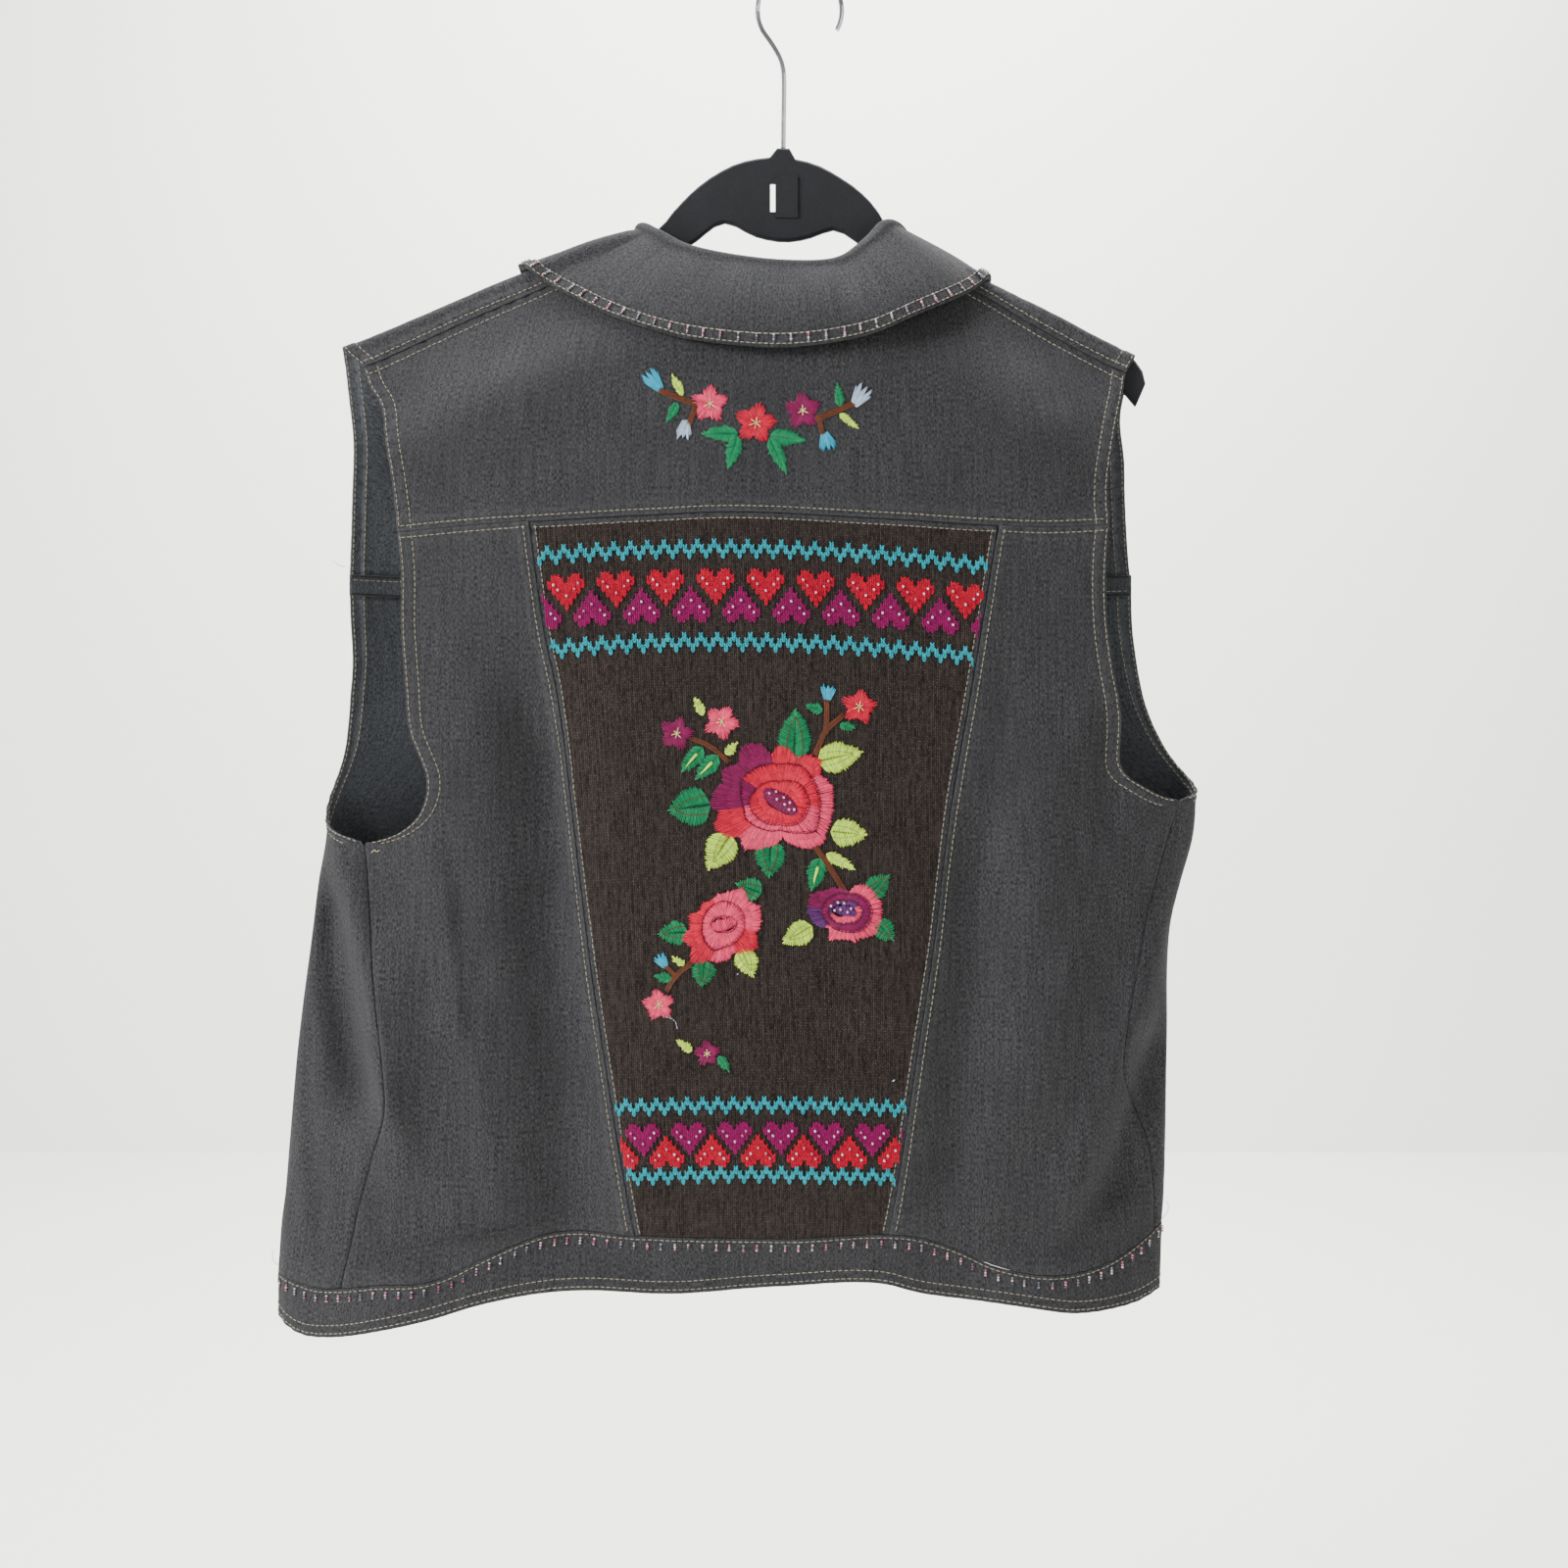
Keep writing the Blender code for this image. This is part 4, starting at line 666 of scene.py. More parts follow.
# Nylon flock on a moulded body: very dark, its short upright fibres catch light only at a slant
def velvetMaterial(name, dark, light):
    material, tree, shader = newMaterial(name, {"Roughness": 0.95, "Sheen Weight": 0.15,
                                                "Sheen Roughness": 0.35})
    place = addNode(tree, "TexCoord", out="Object")
    pile = addNode(tree, "TexNoise", {"Vector": place, "Scale": 900.0, "Detail": 3.0}, "Fac")
    brushed = addNode(tree, "TexNoise", {"Vector": place, "Scale": 26.0, "Detail": 2.0}, "Fac")
    shade = addNode(tree, "Math", {0: pile, 1: brushed}, operation="MULTIPLY")
    tone = addNode(tree, "Mix", {"Factor": shade, "A": colour(dark), "B": colour(light)}, "Result",
                   data_type="RGBA")
    tree.links.new(tone, shader.inputs["Base Color"])
    bump = addNode(tree, "Bump", {"Height": pile, "Strength": 0.4, "Distance": 0.2 * mm})
    tree.links.new(bump, shader.inputs["Normal"])
    return material


# Plated steel: bright chrome on the hook, dulled antique nickel on the shanks, both with faint wiping marks
def metalMaterial(name, scale, smooth, rough, dark, light):
    material, tree, shader = newMaterial(name, {"Metallic": 1.0})
    place = addNode(tree, "TexCoord", out="Object")
    marks = addNode(tree, "TexNoise", {"Vector": place, "Scale": scale, "Detail": 4.0}, "Fac")
    roughness = addNode(tree, "MapRange", {"Value": marks, "To Min": smooth, "To Max": rough})
    tone = addNode(tree, "Mix", {"Factor": marks, "A": colour(dark), "B": colour(light)}, "Result",
                   data_type="RGBA")
    tree.links.new(tone, shader.inputs["Base Color"])
    tree.links.new(roughness, shader.inputs["Roughness"])
    return material


denimOut = denimMaterial("charcoal denim twill",
                         {"warp": "#060607", "weft": "#4f4f52", "faded": "#202023", "rubbed": "#434344"})
denimIn = denimMaterial("denim twill reverse",
                        {"warp": "#191a1d", "weft": "#62656a", "faded": "#404347", "rubbed": "#67696d"})
knitOut = knitMaterial("marled wool jersey", "#110c0b", "#463c37")
velvet = velvetMaterial("nylon flock", "#090a0d", "#20232a")
chrome = metalMaterial("chromed wire", 60.0, 0.06, 0.16, "#8d9094", "#c6c8cb")
nickel = metalMaterial("antique nickel", 300.0, 0.25, 0.5, "#77726a", "#aaa59b")
seamThread = tintedMaterial("polyester seam thread", 900.0, 0.7, {
    "Roughness": 0.55, "Sheen Weight": 0.1, "Specular IOR Level": 0.3})
floss = tintedMaterial("stranded cotton floss", 420.0, 0.72, {
    "Roughness": 0.5, "Sheen Weight": 0.05, "Specular IOR Level": 0.25})
yarnDye = tintedMaterial("dyed wool yarn", 700.0, 0.62, {
    "Roughness": 0.9, "Sheen Weight": 0.05, "Specular IOR Level": 0.15})
beadGlass = tintedMaterial("glass seed beads", 900.0, 0.6, {
    "Roughness": 0.18, "Coat Weight": 1.0, "Specular IOR Level": 0.5})
print("materials made")


# Knitted bands: where the coloured rows lie and how the stitch columns narrow towards the waist
bands = {
    "columnTop": 2.42 * mm, "columnBottom": 2.2 * mm, "rowTop": 1.57 * mm, "rowBottom": 1.38 * mm,
    "top": -372 * mm, "bottom": -690 * mm,
    "middleTop": -20.2 * mm, "middleBottom": -11.5 * mm, "sagTop": 6.5 * mm, "sagBottom": 6.4 * mm,
    "sagWidth": 130 * mm, "tiltTop": 0.022, "tiltBottom": 0.006,
}


# Middle, column width and row drop of the knit at a place
def knitFrame(x, z):
    share = np.clip((bands["top"] - z) / (bands["top"] - bands["bottom"]), -0.1, 1.1)
    width = bands["columnTop"] + (bands["columnBottom"] - bands["columnTop"]) * share
    middle = bands["middleTop"] + (bands["middleBottom"] - bands["middleTop"]) * share
    sag = bands["sagTop"] + (bands["sagBottom"] - bands["sagTop"]) * share
    tilt = bands["tiltTop"] + (bands["tiltBottom"] - bands["tiltTop"]) * share
    away = x - bands["middleTop"]
    return middle, width, sag * (away / bands["sagWidth"]) ** 2 + tilt * away


# X and Z of a stitch, counted from the middle column and from the top row of a band
def knitPlace(column, row, bandTop):
    rowHeight = bands["rowTop"] if np.mean(bandTop) > -500 * mm else bands["rowBottom"]
    z = bandTop - row * rowHeight
    middle, width, _ = knitFrame(0 * column, z)
    x = middle + column * width
    return x, z - knitFrame(x, z)[2]


# Texture place of the knit, so that the ground's stitches run with the coloured ones
def knitGrain(x, z):
    middle, width, drop = knitFrame(x, z)
    return np.stack([((x - middle) / width + 0.5) * knitGauge["column"] * mm, z + drop], axis=-1)


# Back: yoke, knitted centre panel and the two side backs
def layBack():
    neckPlaces = np.linspace(seamRow(leftShoulderRow, 1), seamRow(rightShoulderRow, -1), 400)
    neck = collarLine(0, 2, neckPlaces)
    left = shoulderLine(seams["shoulderLeft"], neck[0])
    right = shoulderLine(seams["shoulderRight"][::-1], neck[-1])[::-1]
    top = joinLines(joinLines(left, neck, shoulderShares[0] / shoulderShares[1]), right, shoulderShares[1])
    armRight, low, armLeft = [overLine(seams[name], back)
                              for name in ("holeRightBackUpper", "yoke", "holeLeftBackUpper")]
    layPanel("back_yoke", (top, armRight, low, armLeft), overPlace, cloth["denim"], denimOut, denimIn,
             welts=("left", "right", "bottom"))

    leftSeam = seamToWaist(seams["princessLeft"], back)
    rightSeam = seamToWaist(seams["princessRight"], back)
    leftTop, rightTop = seams["princessLeft"][0], seams["princessRight"][0]
    yoke = seams["yoke"]
    knitTop = [leftTop] + [p for p in yoke if leftTop[0] < p[0] < rightTop[0]] + [rightTop]
    knitLow = levelLine(leftSeam[-1, 0], rightSeam[-1, 0], waistHeight)
    layPanel("back_center_knit", (roundLine(knitTop, back), rightSeam, knitLow, leftSeam), roundPlace,
             cloth["knit"], knitOut, knitOut, spacing=4.0, grainOf=knitGrain)

    # The yoke seam's points close to a princess seam are left out, so that both lines meet at its top
    apart = 5
    for hand, seam in (("left", leftSeam), ("right", rightSeam)):
        word = hand.capitalize()
        side = seamToWaist(seams["side" + word], back)
        outer = joinLines(roundLine(seams[f"hole{word}BackLower"], back), side, holeShare)
        if hand == "left":
            line = [yoke[0]] + [p for p in yoke[1:] if p[0] < leftTop[0] - apart] + [leftTop]
            edges = (roundLine(line, back), seam, levelLine(outer[-1, 0], seam[-1, 0], waistHeight), outer)
        else:
            line = [rightTop] + [p for p in yoke[:-1] if p[0] > rightTop[0] + apart] + [yoke[-1]]
            edges = (roundLine(line, back), outer, levelLine(seam[-1, 0], outer[-1, 0], waistHeight), seam)
        layPanel(f"back_side_{hand}", edges, roundPlace, cloth["denim"], denimOut, denimIn,
                 welts=("left", "right", "top"))


# Fronts: yokes over the shoulders, centre fronts and side fronts that turn round the sides
def frontEdge(lower, silhouette, sideTop):
    line = [(float(angleOf(x * mm, z * mm, front)), z * mm) for x, z in lower]
    turn = np.pi if line[0][0] > np.pi / 2 else 0.0
    start = float(angleOf(sideTop[0] * mm, sideTop[1] * mm, back)) - (2 * np.pi if turn == 0.0 else 0)
    line += [(turn, silhouette * mm), (start, sideTop[1] * mm)]
    scale = np.array([0.25, 1.0])
    return smoothLine(np.array(line) * scale) / scale


def layFronts():
    level = frontYokeHeight
    for hand in ("left", "right"):
        onLeft = hand == "left"
        word = hand.capitalize()
        shoulder = seams["shoulder" + word] if onLeft else seams["shoulder" + word][::-1]
        upper, lower = seams[f"hole{word}FrontUpper"], seams[f"hole{word}FrontLower"]
        neckStart, neckEnd = ((seamRow(leftShoulderRow, 1), 0) if onLeft
                              else (seamRow(rightShoulderRow, -1), len(collarRows) - 1))
        neck = collarLine(0, 2, np.linspace(neckStart, neckEnd, 300))
        seam = shoulderLine(shoulder, neck[0])
        overArm = along(overLine(upper, front), np.linspace(0, 1, 41))[3:]
        arm = smoothLine(np.vstack([[seam[0]], [(upper[0][0] * mm, 0.0)], overArm]))
        lowReach = float(reachOf(centreFront * mm, level * mm, front))
        inner = smoothLine(np.vstack([along(neck, np.linspace(0, 1, 60)), [(centreFront * mm, lowReach)]]))
        low = overLine([(upper[-1][0], level), (centreFront, level)], front)
        edges = (seam[::-1], arm, low[::-1], inner) if onLeft else (seam, inner, low, arm)
        layPanel(f"front_yoke_{hand}", edges, overPlace, cloth["denim"], denimOut, denimIn, spacing=3.6,
                 welts=("top", "left", "right", "bottom"))

        princess = seams["frontPrincess" + word]
        frontSeam = seamToWaist(princess, front)
        centre = seamToWaist([(centreFront, level), (centreFront, -755)], front)
        side = seamToWaist(seams["side" + word], back) - np.array([0 if onLeft else 2 * np.pi, 0])
        silhouette = silhouetteHoleLeft if onLeft else silhouetteHoleRight
        outer = joinLines(frontEdge(lower, silhouette, seams["side" + word][0]), side, holeShare)
        ends = [(centreFront, level), (princess[0][0], level), (upper[-1][0], level)]
        centreTop, sideTop = [
            np.column_stack([np.linspace(float(angleOf(p[0] * mm, p[1] * mm, front)),
                                         float(angleOf(q[0] * mm, q[1] * mm, front)), 481),
                             np.full(481, level * mm)]) for p, q in zip(ends, ends[1:])]
        centreLow = levelLine(centre[-1, 0], frontSeam[-1, 0], waistHeight)
        sideLow = levelLine(frontSeam[-1, 0], outer[-1, 0], waistHeight)
        if onLeft:
            centreEdges = (centreTop, frontSeam, centreLow, centre)
            sideEdges = (sideTop, outer, sideLow, frontSeam)
        else:
            centreEdges = (centreTop[::-1], centre, centreLow[::-1], frontSeam)
            sideEdges = (sideTop[::-1], frontSeam, sideLow[::-1], outer)
        for name, edges, spacing in (("center", centreEdges, 4.5), ("side", sideEdges, 4.8)):
            layPanel(f"front_{name}_{hand}", edges, roundPlace, cloth["denim"], denimOut, denimIn,
                     spacing=spacing, welts=("left", "right", "top"))


def layWaistband():
    start = seamToWaist([(centreFront, frontYokeHeight), (centreFront, -755)], front)[-1, 0]
    end = start + 2 * np.pi
    top, low = levelLine(start, end, waistHeight), levelLine(start, end, hemHeight)
    share = np.linspace(0, 1, 481)[:, None]
    first, last = top[0] + (low[0] - top[0]) * share, top[-1] + (low[-1] - top[-1]) * share
    layPanel("waistband", (top, last, low, first), roundPlace, cloth["band"], denimOut, denimIn, spacing=4.0,
             rims=(closeRim, (0, 1.2, 2.6, 4.0, 6.0, 8.0)))


# Pushes collar points out until they lie clear of the cloth below
def clearOfCloth(points, clearance):
    points = points.copy()
    radius = drape["ridgeRadius"]
    for _ in range(5):
        x, y, z = np.moveaxis(points, -1, 0)
        side = np.where(y < 0, back, front)
        capCentre = smoothValue(ridge, x) - radius
        overRidge = side * radius * np.arctan2(np.abs(y), z - capCentre)
        reach = np.where(z > capCentre, overRidge, reachOf(x, z, side))
        place, normal = surfaceAt(overPlace, x, reach)
        distance = np.sum((points - place) * normal, axis=-1)
        points += normal * np.maximum(0, clearance - distance)[..., None]
    return points


# Roll of the collar; its creases are X of the middle, half width and height, in millimetres
collar = {
    "foldRadius": 4.2 * mm, "belly": 3.5 * mm, "rest": 1.0 * mm, "rootGap": 0.9 * mm, "trimWidth": 8 * mm,
    "armBelowRidge": 2.5 * mm, "hangerThickness": 5.5 * mm,
    "creases": [(7, 4.2, 4.0), (21, 4.5, 4.0), (-29, 4.5, 2.0), (-43, 6, 3.0), (64, 9, 1.2), (-92, 9, 1.2)],
}


def layCollar():
    fine = 4
    steps = [row + np.arange(count * fine) / (count * fine) for row, count in enumerate(stepsPerRow)]
    steps = np.concatenate(steps + [[len(stepsPerRow)]])
    foldTops, edges = collarLine(2, 5, steps), collarLine(5, 8, steps)
    neck = collarLine(0, 2, steps)
    necks, neckNormals = surfaceAt(overPlace, neck[:, 0], neck[:, 1])
    inward = np.cross(neckNormals, np.gradient(necks, axis=0))
    inward /= np.linalg.norm(inward, axis=-1, keepdims=True)
    outward = edges - foldTops
    outward[:, 2] = 0
    outward /= np.linalg.norm(outward, axis=-1, keepdims=True)
    radius = collar["foldRadius"]
    centre = foldTops - np.array([0, 0, radius])
    outStart, inStart = centre + outward * radius, centre - outward * radius
    root = necks - neckNormals * cloth["denim"]
    rise = inStart - root
    rise /= np.linalg.norm(rise, axis=-1, keepdims=True)
    lean = np.maximum(0, np.sum(rise * neckNormals, axis=-1, keepdims=True))
    root = root + inward * (collar["rootGap"] + cloth["collar"] * lean)
    fallLength = np.linalg.norm(outStart - edges, axis=-1)
    trim = collar["trimWidth"] / fallLength
    section = []
    rim = np.array([0, 0.12, 0.5, 0.88, 1.0])
    shares = [trim * value for value in rim]
    shares += [trim + (1 - trim) * value for value in np.linspace(0, 1, 15)[1:-1]]
    for share in shares:
        place = edges + (outStart - edges) * share[:, None]
        place = place + outward * collar["belly"] * np.sin(np.pi * share)[:, None]
        for across, width, height in collar["creases"]:
            dent = height * mm * np.exp(-((edges[:, 0] - across * mm) / (width * mm)) ** 2)
            dent = dent * share * (1 - share ** 6)
            place = place + outward * dent[:, None]
        section.append(clearOfCloth(place, cloth["collar"] + collar["rest"]))
    for turn in np.linspace(0, np.pi, 11):
        section.append(centre + (outward * np.cos(turn) + np.array([0, 0, 1]) * np.sin(turn)) * radius)
    for share in np.linspace(0, 1, 9)[1:]:
        place = inStart + (root - inStart) * share
        arm = smoothValue(ridge, place[:, 0]) - collar["armBelowRidge"] + cloth["layGap"] * 2
        near = np.abs(place[:, 1]) < collar["hangerThickness"] / 2 + cloth["layGap"] * 2
        over = near & (place[:, 2] < arm)
        place[:, 2] = np.where(over, arm, place[:, 2])
        section.append(place)
    points = np.array(section)[::-1]
    normals = np.cross(np.gradient(points, axis=0), np.gradient(points, axis=1))
    normals /= np.linalg.norm(normals, axis=-1, keepdims=True)
    sideways, down = travelled(points, 1), travelled(points, 0)
    spread = np.broadcast_to(sideways.mean(axis=0), sideways.shape)
    grain = np.stack([spread, -down], axis=-1)
    piece = gridObject("collar", points, grain, denimOut, denimIn, cloth["collar"])
    finishPiece(piece, ["collar"])
    band, bandNormals = points[-5:], normals[-5:]
    outer = band + bandNormals * (cloth["layGap"] + cloth["trim"])
    strip = gridObject("collar_trim", outer, grain[-5:], denimOut, denimOut, cloth["trim"])
    finishPiece(strip, ["collar_trim"])
    keepPanel("collar", points, normals)
    keepPanel("collar_trim", outer, bandNormals)


# Buttonhole band: height of its top, its width, how far above the hem it ends, and its grid
placket = {"top": -292 * mm, "width": 32 * mm, "aboveHem": 1.5 * mm, "rows": 170, "columns": 13}


def layPlacket():
    top, bottom = placket["top"], float(hemHeight(centreFront * mm, front)) + placket["aboveHem"]
    z = np.linspace(top, bottom, placket["rows"])[:, None] + np.zeros((1, placket["columns"]))
    across = np.linspace(1, -1, placket["columns"])[None, :] * placket["width"] / 2
    x = centreFront * mm + across + np.zeros_like(z)
    points, normals = surfaceAt(roundPlace, angleOf(x, z, front), z)
    points = points + normals * (cloth["layGap"] + cloth["denim"])
    grain = np.stack([x, z], axis=-1)
    piece = gridObject("front_placket", points, grain, denimOut, denimIn, cloth["denim"])
    finishPiece(piece, ["front_placket"])
    keepPanel("front_placket", points, normals)


# Allowances pressed against the inside; "past" is how far they reach beyond the arm's edge, in millimetres
allowance = {"halfWidth": 6.5 * mm, "wall": 0.8 * mm, "clear": 0.5 * mm, "past": 0.5}


# Pressed seam allowance inside the vest, along a seam given by angle and height
def layAllowance(name, line):
    line = line[::4]
    points, normals = surfaceAt(roundPlace, line[:, 0], line[:, 1])
    forward = np.gradient(points, axis=0)
    forward /= np.linalg.norm(forward, axis=-1, keepdims=True)
    aside = np.cross(normals, forward)
    inner = points - normals * (cloth["denim"] + allowance["clear"])
    across = np.linspace(-1, 1, 9) * allowance["halfWidth"]
    grid = inner[None] + aside[None] * across[:, None, None]
    ups = np.repeat(normals[None], len(across), axis=0)
    if np.dot(np.cross(grid[1, 9] - grid[0, 9], grid[0, 10] - grid[0, 9]), normals[9]) < 0:
        grid, ups = grid[::-1], ups[::-1]
    gone = travelled(grid, 1)
    grain = np.stack([gone, across[:, None] + 0 * gone], axis=-1)
    piece = gridObject(name, grid, grain, denimIn, denimIn, allowance["wall"])
    finishPiece(piece)
    keepPanel(name, grid - ups * allowance["wall"], -ups)


# The four seams whose inside shows through the armholes
def layAllowances():
    for hand in ("left", "right"):
        word = hand.capitalize()
        princess = seams["frontPrincess" + word]
        arm = seams[f"hole{word}FrontUpper"][-1][0]
        level = frontYokeHeight * mm
        armEnd = arm - allowance["past"] if hand == "left" else arm + allowance["past"]
        ends = [float(angleOf(x * mm, level, front)) for x in (armEnd, centreFront)]
        line = np.column_stack([np.linspace(*ends, 241), np.full(241, level)])
        layAllowance(f"yoke_allowance_{hand}", line)
        layAllowance(f"princess_allowance_{hand}", seamToWaist(princess, front)[24:-12])


layBack()
layFronts()
layWaistband()
layCollar()
layPlacket()
layAllowances()
print("cloth laid")

# Small shapes that are repeated: one made by an operator, then laid along lines and at places
chanceOf = np.random.default_rng(7)


# Corners and faces of a small ball with a radius of one
def smallShape(segments, rings):
    shape = bmesh.new()
    bmesh.ops.create_uvsphere(shape, u_segments=segments, v_segments=rings, radius=1.0)
    shape.verts.index_update()
    corners = np.array([vertex.co[:] for vertex in shape.verts])
    faces = [[vertex.index for vertex in face.verts] for face in shape.faces]
    shape.free()
    return corners, faces


# One piece of many small shapes: each has its place, its long way, its upright way, size and colour
def layShapes(name, template, places, ways, normals, sizes, tints, material):
    corners, faces = template
    places, ways, normals = np.asarray(places), np.asarray(ways), np.asarray(normals)
    ways = ways / np.linalg.norm(ways, axis=-1, keepdims=True)
    aside = np.cross(normals, ways)
    aside /= np.linalg.norm(aside, axis=-1, keepdims=True)
    upright = np.cross(ways, aside)
    sizes = np.broadcast_to(sizes, (len(places), 3))
    axes = np.stack([aside * sizes[:, 1:2], upright * sizes[:, 2:3], ways * sizes[:, 0:1]], axis=1)
    spots = places[:, None, :] + np.einsum("kc,ncd->nkd", corners, axes)
    count = len(corners)
    allFaces = [[index + count * copy for index in face] for copy in range(len(places)) for face in faces]
    mesh = bpy.data.meshes.new(name)
    mesh.from_pydata(spots.reshape(-1, 3), [], allFaces)
    tint = mesh.attributes.new("tint", "FLOAT_COLOR", "POINT")
    shade = np.ones((len(places), count, 4))
    shade[..., :3] = np.asarray(tints)[:, None, :3]
    tint.data.foreach_set("color", shade.ravel())
    mesh.materials.append(material)
    mesh.shade_smooth()
    finishPiece(bpy.data.objects.new(name, mesh))


thread, bead = smallShape(5, 4), smallShape(6, 5)
sewing = {"pitch": 3.5 * mm, "length": 2.7 * mm, "radius": 0.3 * mm, "lift": 0.15 * mm, "colour": "#918a76"}
overlock = {"pitch": 1.7 * mm, "length": 2.4 * mm, "radius": 0.6 * mm, "lift": 0.15 * mm, "colour": "#0d0d0e"}
# How far each row of stitches lies inside its edge
rowsFrom = {
    "armhole": (1.5 * mm, 8.4 * mm), "seam": 3.3 * mm, "shoulderBack": 5.0 * mm, "shoulderFront": 3.4 * mm,
    "hem": (2.2 * mm, 7.0 * mm), "waist": 1.8 * mm, "collar": (1.0 * mm, 6.9 * mm),
    "placket": (4.0 * mm, 28.0 * mm), "allowanceEdges": (0.9 * mm, 12.1 * mm), "allowance": 9.6 * mm,
}
stitches = {"places": [], "ways": [], "normals": [], "sizes": [], "tints": []}


# Copies of a colour, each a little lighter or darker
def varied(code, count, spread=0.12):
    return np.array(colour(code))[None, :3] * (1 + chanceOf.uniform(-spread, spread, count))[:, None]


# Line on a panel at a distance inside one of its edges, between two shares of that edge
def insetRow(name, edge, distance, start=0.0, end=1.0):
    points, normals = panels[name]["points"], panels[name]["normals"]
    if edge in ("left", "right"):
        points, normals = points.transpose(1, 0, 2), normals.transpose(1, 0, 2)
        shares = panels[name]["rows"]
    else:
        shares = panels[name]["columns"]
    if edge in ("right", "bottom"):
        points, normals = points[::-1], normals[::-1]
    gone = travelled(points, 0)
    wanted = [j for j, share in enumerate(shares) if start <= share <= end]
    read = [[[np.interp(distance, gone[:, j], grid[:, j, k]) for k in range(3)] for j in wanted]
            for grid in (points, normals)]
    return np.array(read[0]), np.array(read[1])


# A row of stitches along a line on the cloth
def sew(points, normals, look=sewing):
    pitch, length, radius = look["pitch"], look["length"], look["radius"]
    gone = np.concatenate([[0], np.cumsum(np.linalg.norm(np.diff(points, axis=0), axis=1))])
    middles = np.arange(pitch, gone[-1] - pitch / 2, pitch)
    if len(middles) < 1:
        return
    read = [np.column_stack([np.interp(middles + shift, gone, column) for column in points.T])
            for shift in (-length / 2, 0, length / 2)]
    up = np.column_stack([np.interp(middles, gone, column) for column in normals.T])
    stitches["places"].append((read[0] + read[2]) / 2 * 0.5 + read[1] * 0.5 + up * look["lift"])
    stitches["ways"].append(read[2] - read[0] + chanceOf.normal(0, 0.05 * mm, read[0].shape))
    stitches["normals"].append(up)
    stitches["sizes"].append(np.tile([length / 2, radius, radius], (len(middles), 1)))
    stitches["tints"].append(varied(look["colour"], len(middles)))


# All topstitching, in the rows that the photo shows and the same rows on the front
def sewSeams():
    backArms = (("back_yoke", "left", 1), ("back_yoke", "right", 1), ("back_side_left", "left", holeShare),
                ("back_side_right", "right", holeShare))
    frontArms = (("front_yoke_left", "right", 1), ("front_yoke_right", "left", 1),
                 ("front_side_left", "right", holeShare), ("front_side_right", "left", holeShare))
    for distance in rowsFrom["armhole"]:
        for name, edge, end in backArms + frontArms:
            sew(*insetRow(name, edge, distance, 0, end))
    for name, edge in (("back_yoke", "bottom"), ("back_side_left", "top"), ("back_center_knit", "top"),
                       ("back_side_right", "top"), ("back_side_left", "right"), ("back_center_knit", "left"),
                       ("back_center_knit", "right"), ("back_side_right", "left")):
        sew(*insetRow(name, edge, rowsFrom["seam"]))
    for start, end in ((0, shoulderShares[0]), (shoulderShares[1], 1)):
        sew(*insetRow("back_yoke", "top", rowsFrom["shoulderBack"], start, end))
    for hand, other in (("left", "right"), ("right", "left")):
        sew(*insetRow(f"front_yoke_{hand}", "top", rowsFrom["shoulderFront"]))
        for name, edge in (("yoke", "bottom"), ("center", "top"), ("side", "top"), ("center", other),
                           ("side", hand)):
            sew(*insetRow(f"front_{name}_{hand}", edge, rowsFrom["seam"]))
    for distance in rowsFrom["hem"]:
        sew(*insetRow("waistband", "bottom", distance))
    sew(*insetRow("waistband", "top", rowsFrom["waist"]))
    for name, edge, key in (("collar_trim", "bottom", "collar"), ("front_placket", "left", "placket")):
        for distance in rowsFrom[key]:
            sew(*insetRow(name, edge, distance))
    # The same threads on the inside, where the armholes show it
    for name, edge, end in frontArms:
        for distance in rowsFrom["armhole"]:
            points, normals = insetRow(name, edge, distance, 0, end)
            sew(points - normals * cloth["denim"], -normals)
    for name in [name for name in panels if "allowance" in name]:
        for distance in rowsFrom["allowanceEdges"]:
            sew(*insetRow(name, "top", distance), overlock)
        sew(*insetRow(name, "top", rowsFrom["allowance"]))
    joined = {key: np.concatenate(value) for key, value in stitches.items()}
    layShapes("topstitching", thread, joined["places"], joined["ways"], joined["normals"], joined["sizes"],
              joined["tints"], seamThread)
    print("stitches", len(joined["places"]))


# Seed beads in short bars across the collar band and below the waist seam
beadColours = ["#b3687a", "#b9b2b6", "#3b3b4a", "#93425a", "#73778b", "#c9a1a8"]
beadSize, beadLift = np.array([0.66, 0.82, 0.82]) * mm, 0.55 * mm
beadRows = {
    "collar_beads": {"panel": "collar_trim", "edge": "bottom", "first": 1.9 * mm, "step": 1.45 * mm,
                     "count": 4, "spacing": 10.3 * mm},
    "waist_beads": {"panel": "waistband", "edge": "top", "first": 3.9 * mm, "step": 1.5 * mm,
                    "count": 3, "spacing": 8.0 * mm},
}


# Places, ways and directions of bead bars at even spacing along the edge of a panel
def beadBars(look):
    rows = [insetRow(look["panel"], look["edge"], look["first"] + look["step"] * k)
            for k in range(look["count"])]
    gone = np.concatenate([[0], np.cumsum(np.linalg.norm(np.diff(rows[0][0], axis=0), axis=1))])
    spots = np.arange(look["spacing"] * 0.6, gone[-1], look["spacing"])
    spots = spots + chanceOf.uniform(-0.06, 0.06, len(spots)) * look["spacing"]
    places, normals = [], []
    for points, ups in rows:
        places.append(np.column_stack([np.interp(spots, gone, column) for column in points.T]))
        normals.append(np.column_stack([np.interp(spots, gone, column) for column in ups.T]))
    ways = np.gradient(np.array(places), axis=0)
    return np.concatenate(places), np.concatenate(ways), np.concatenate(normals)


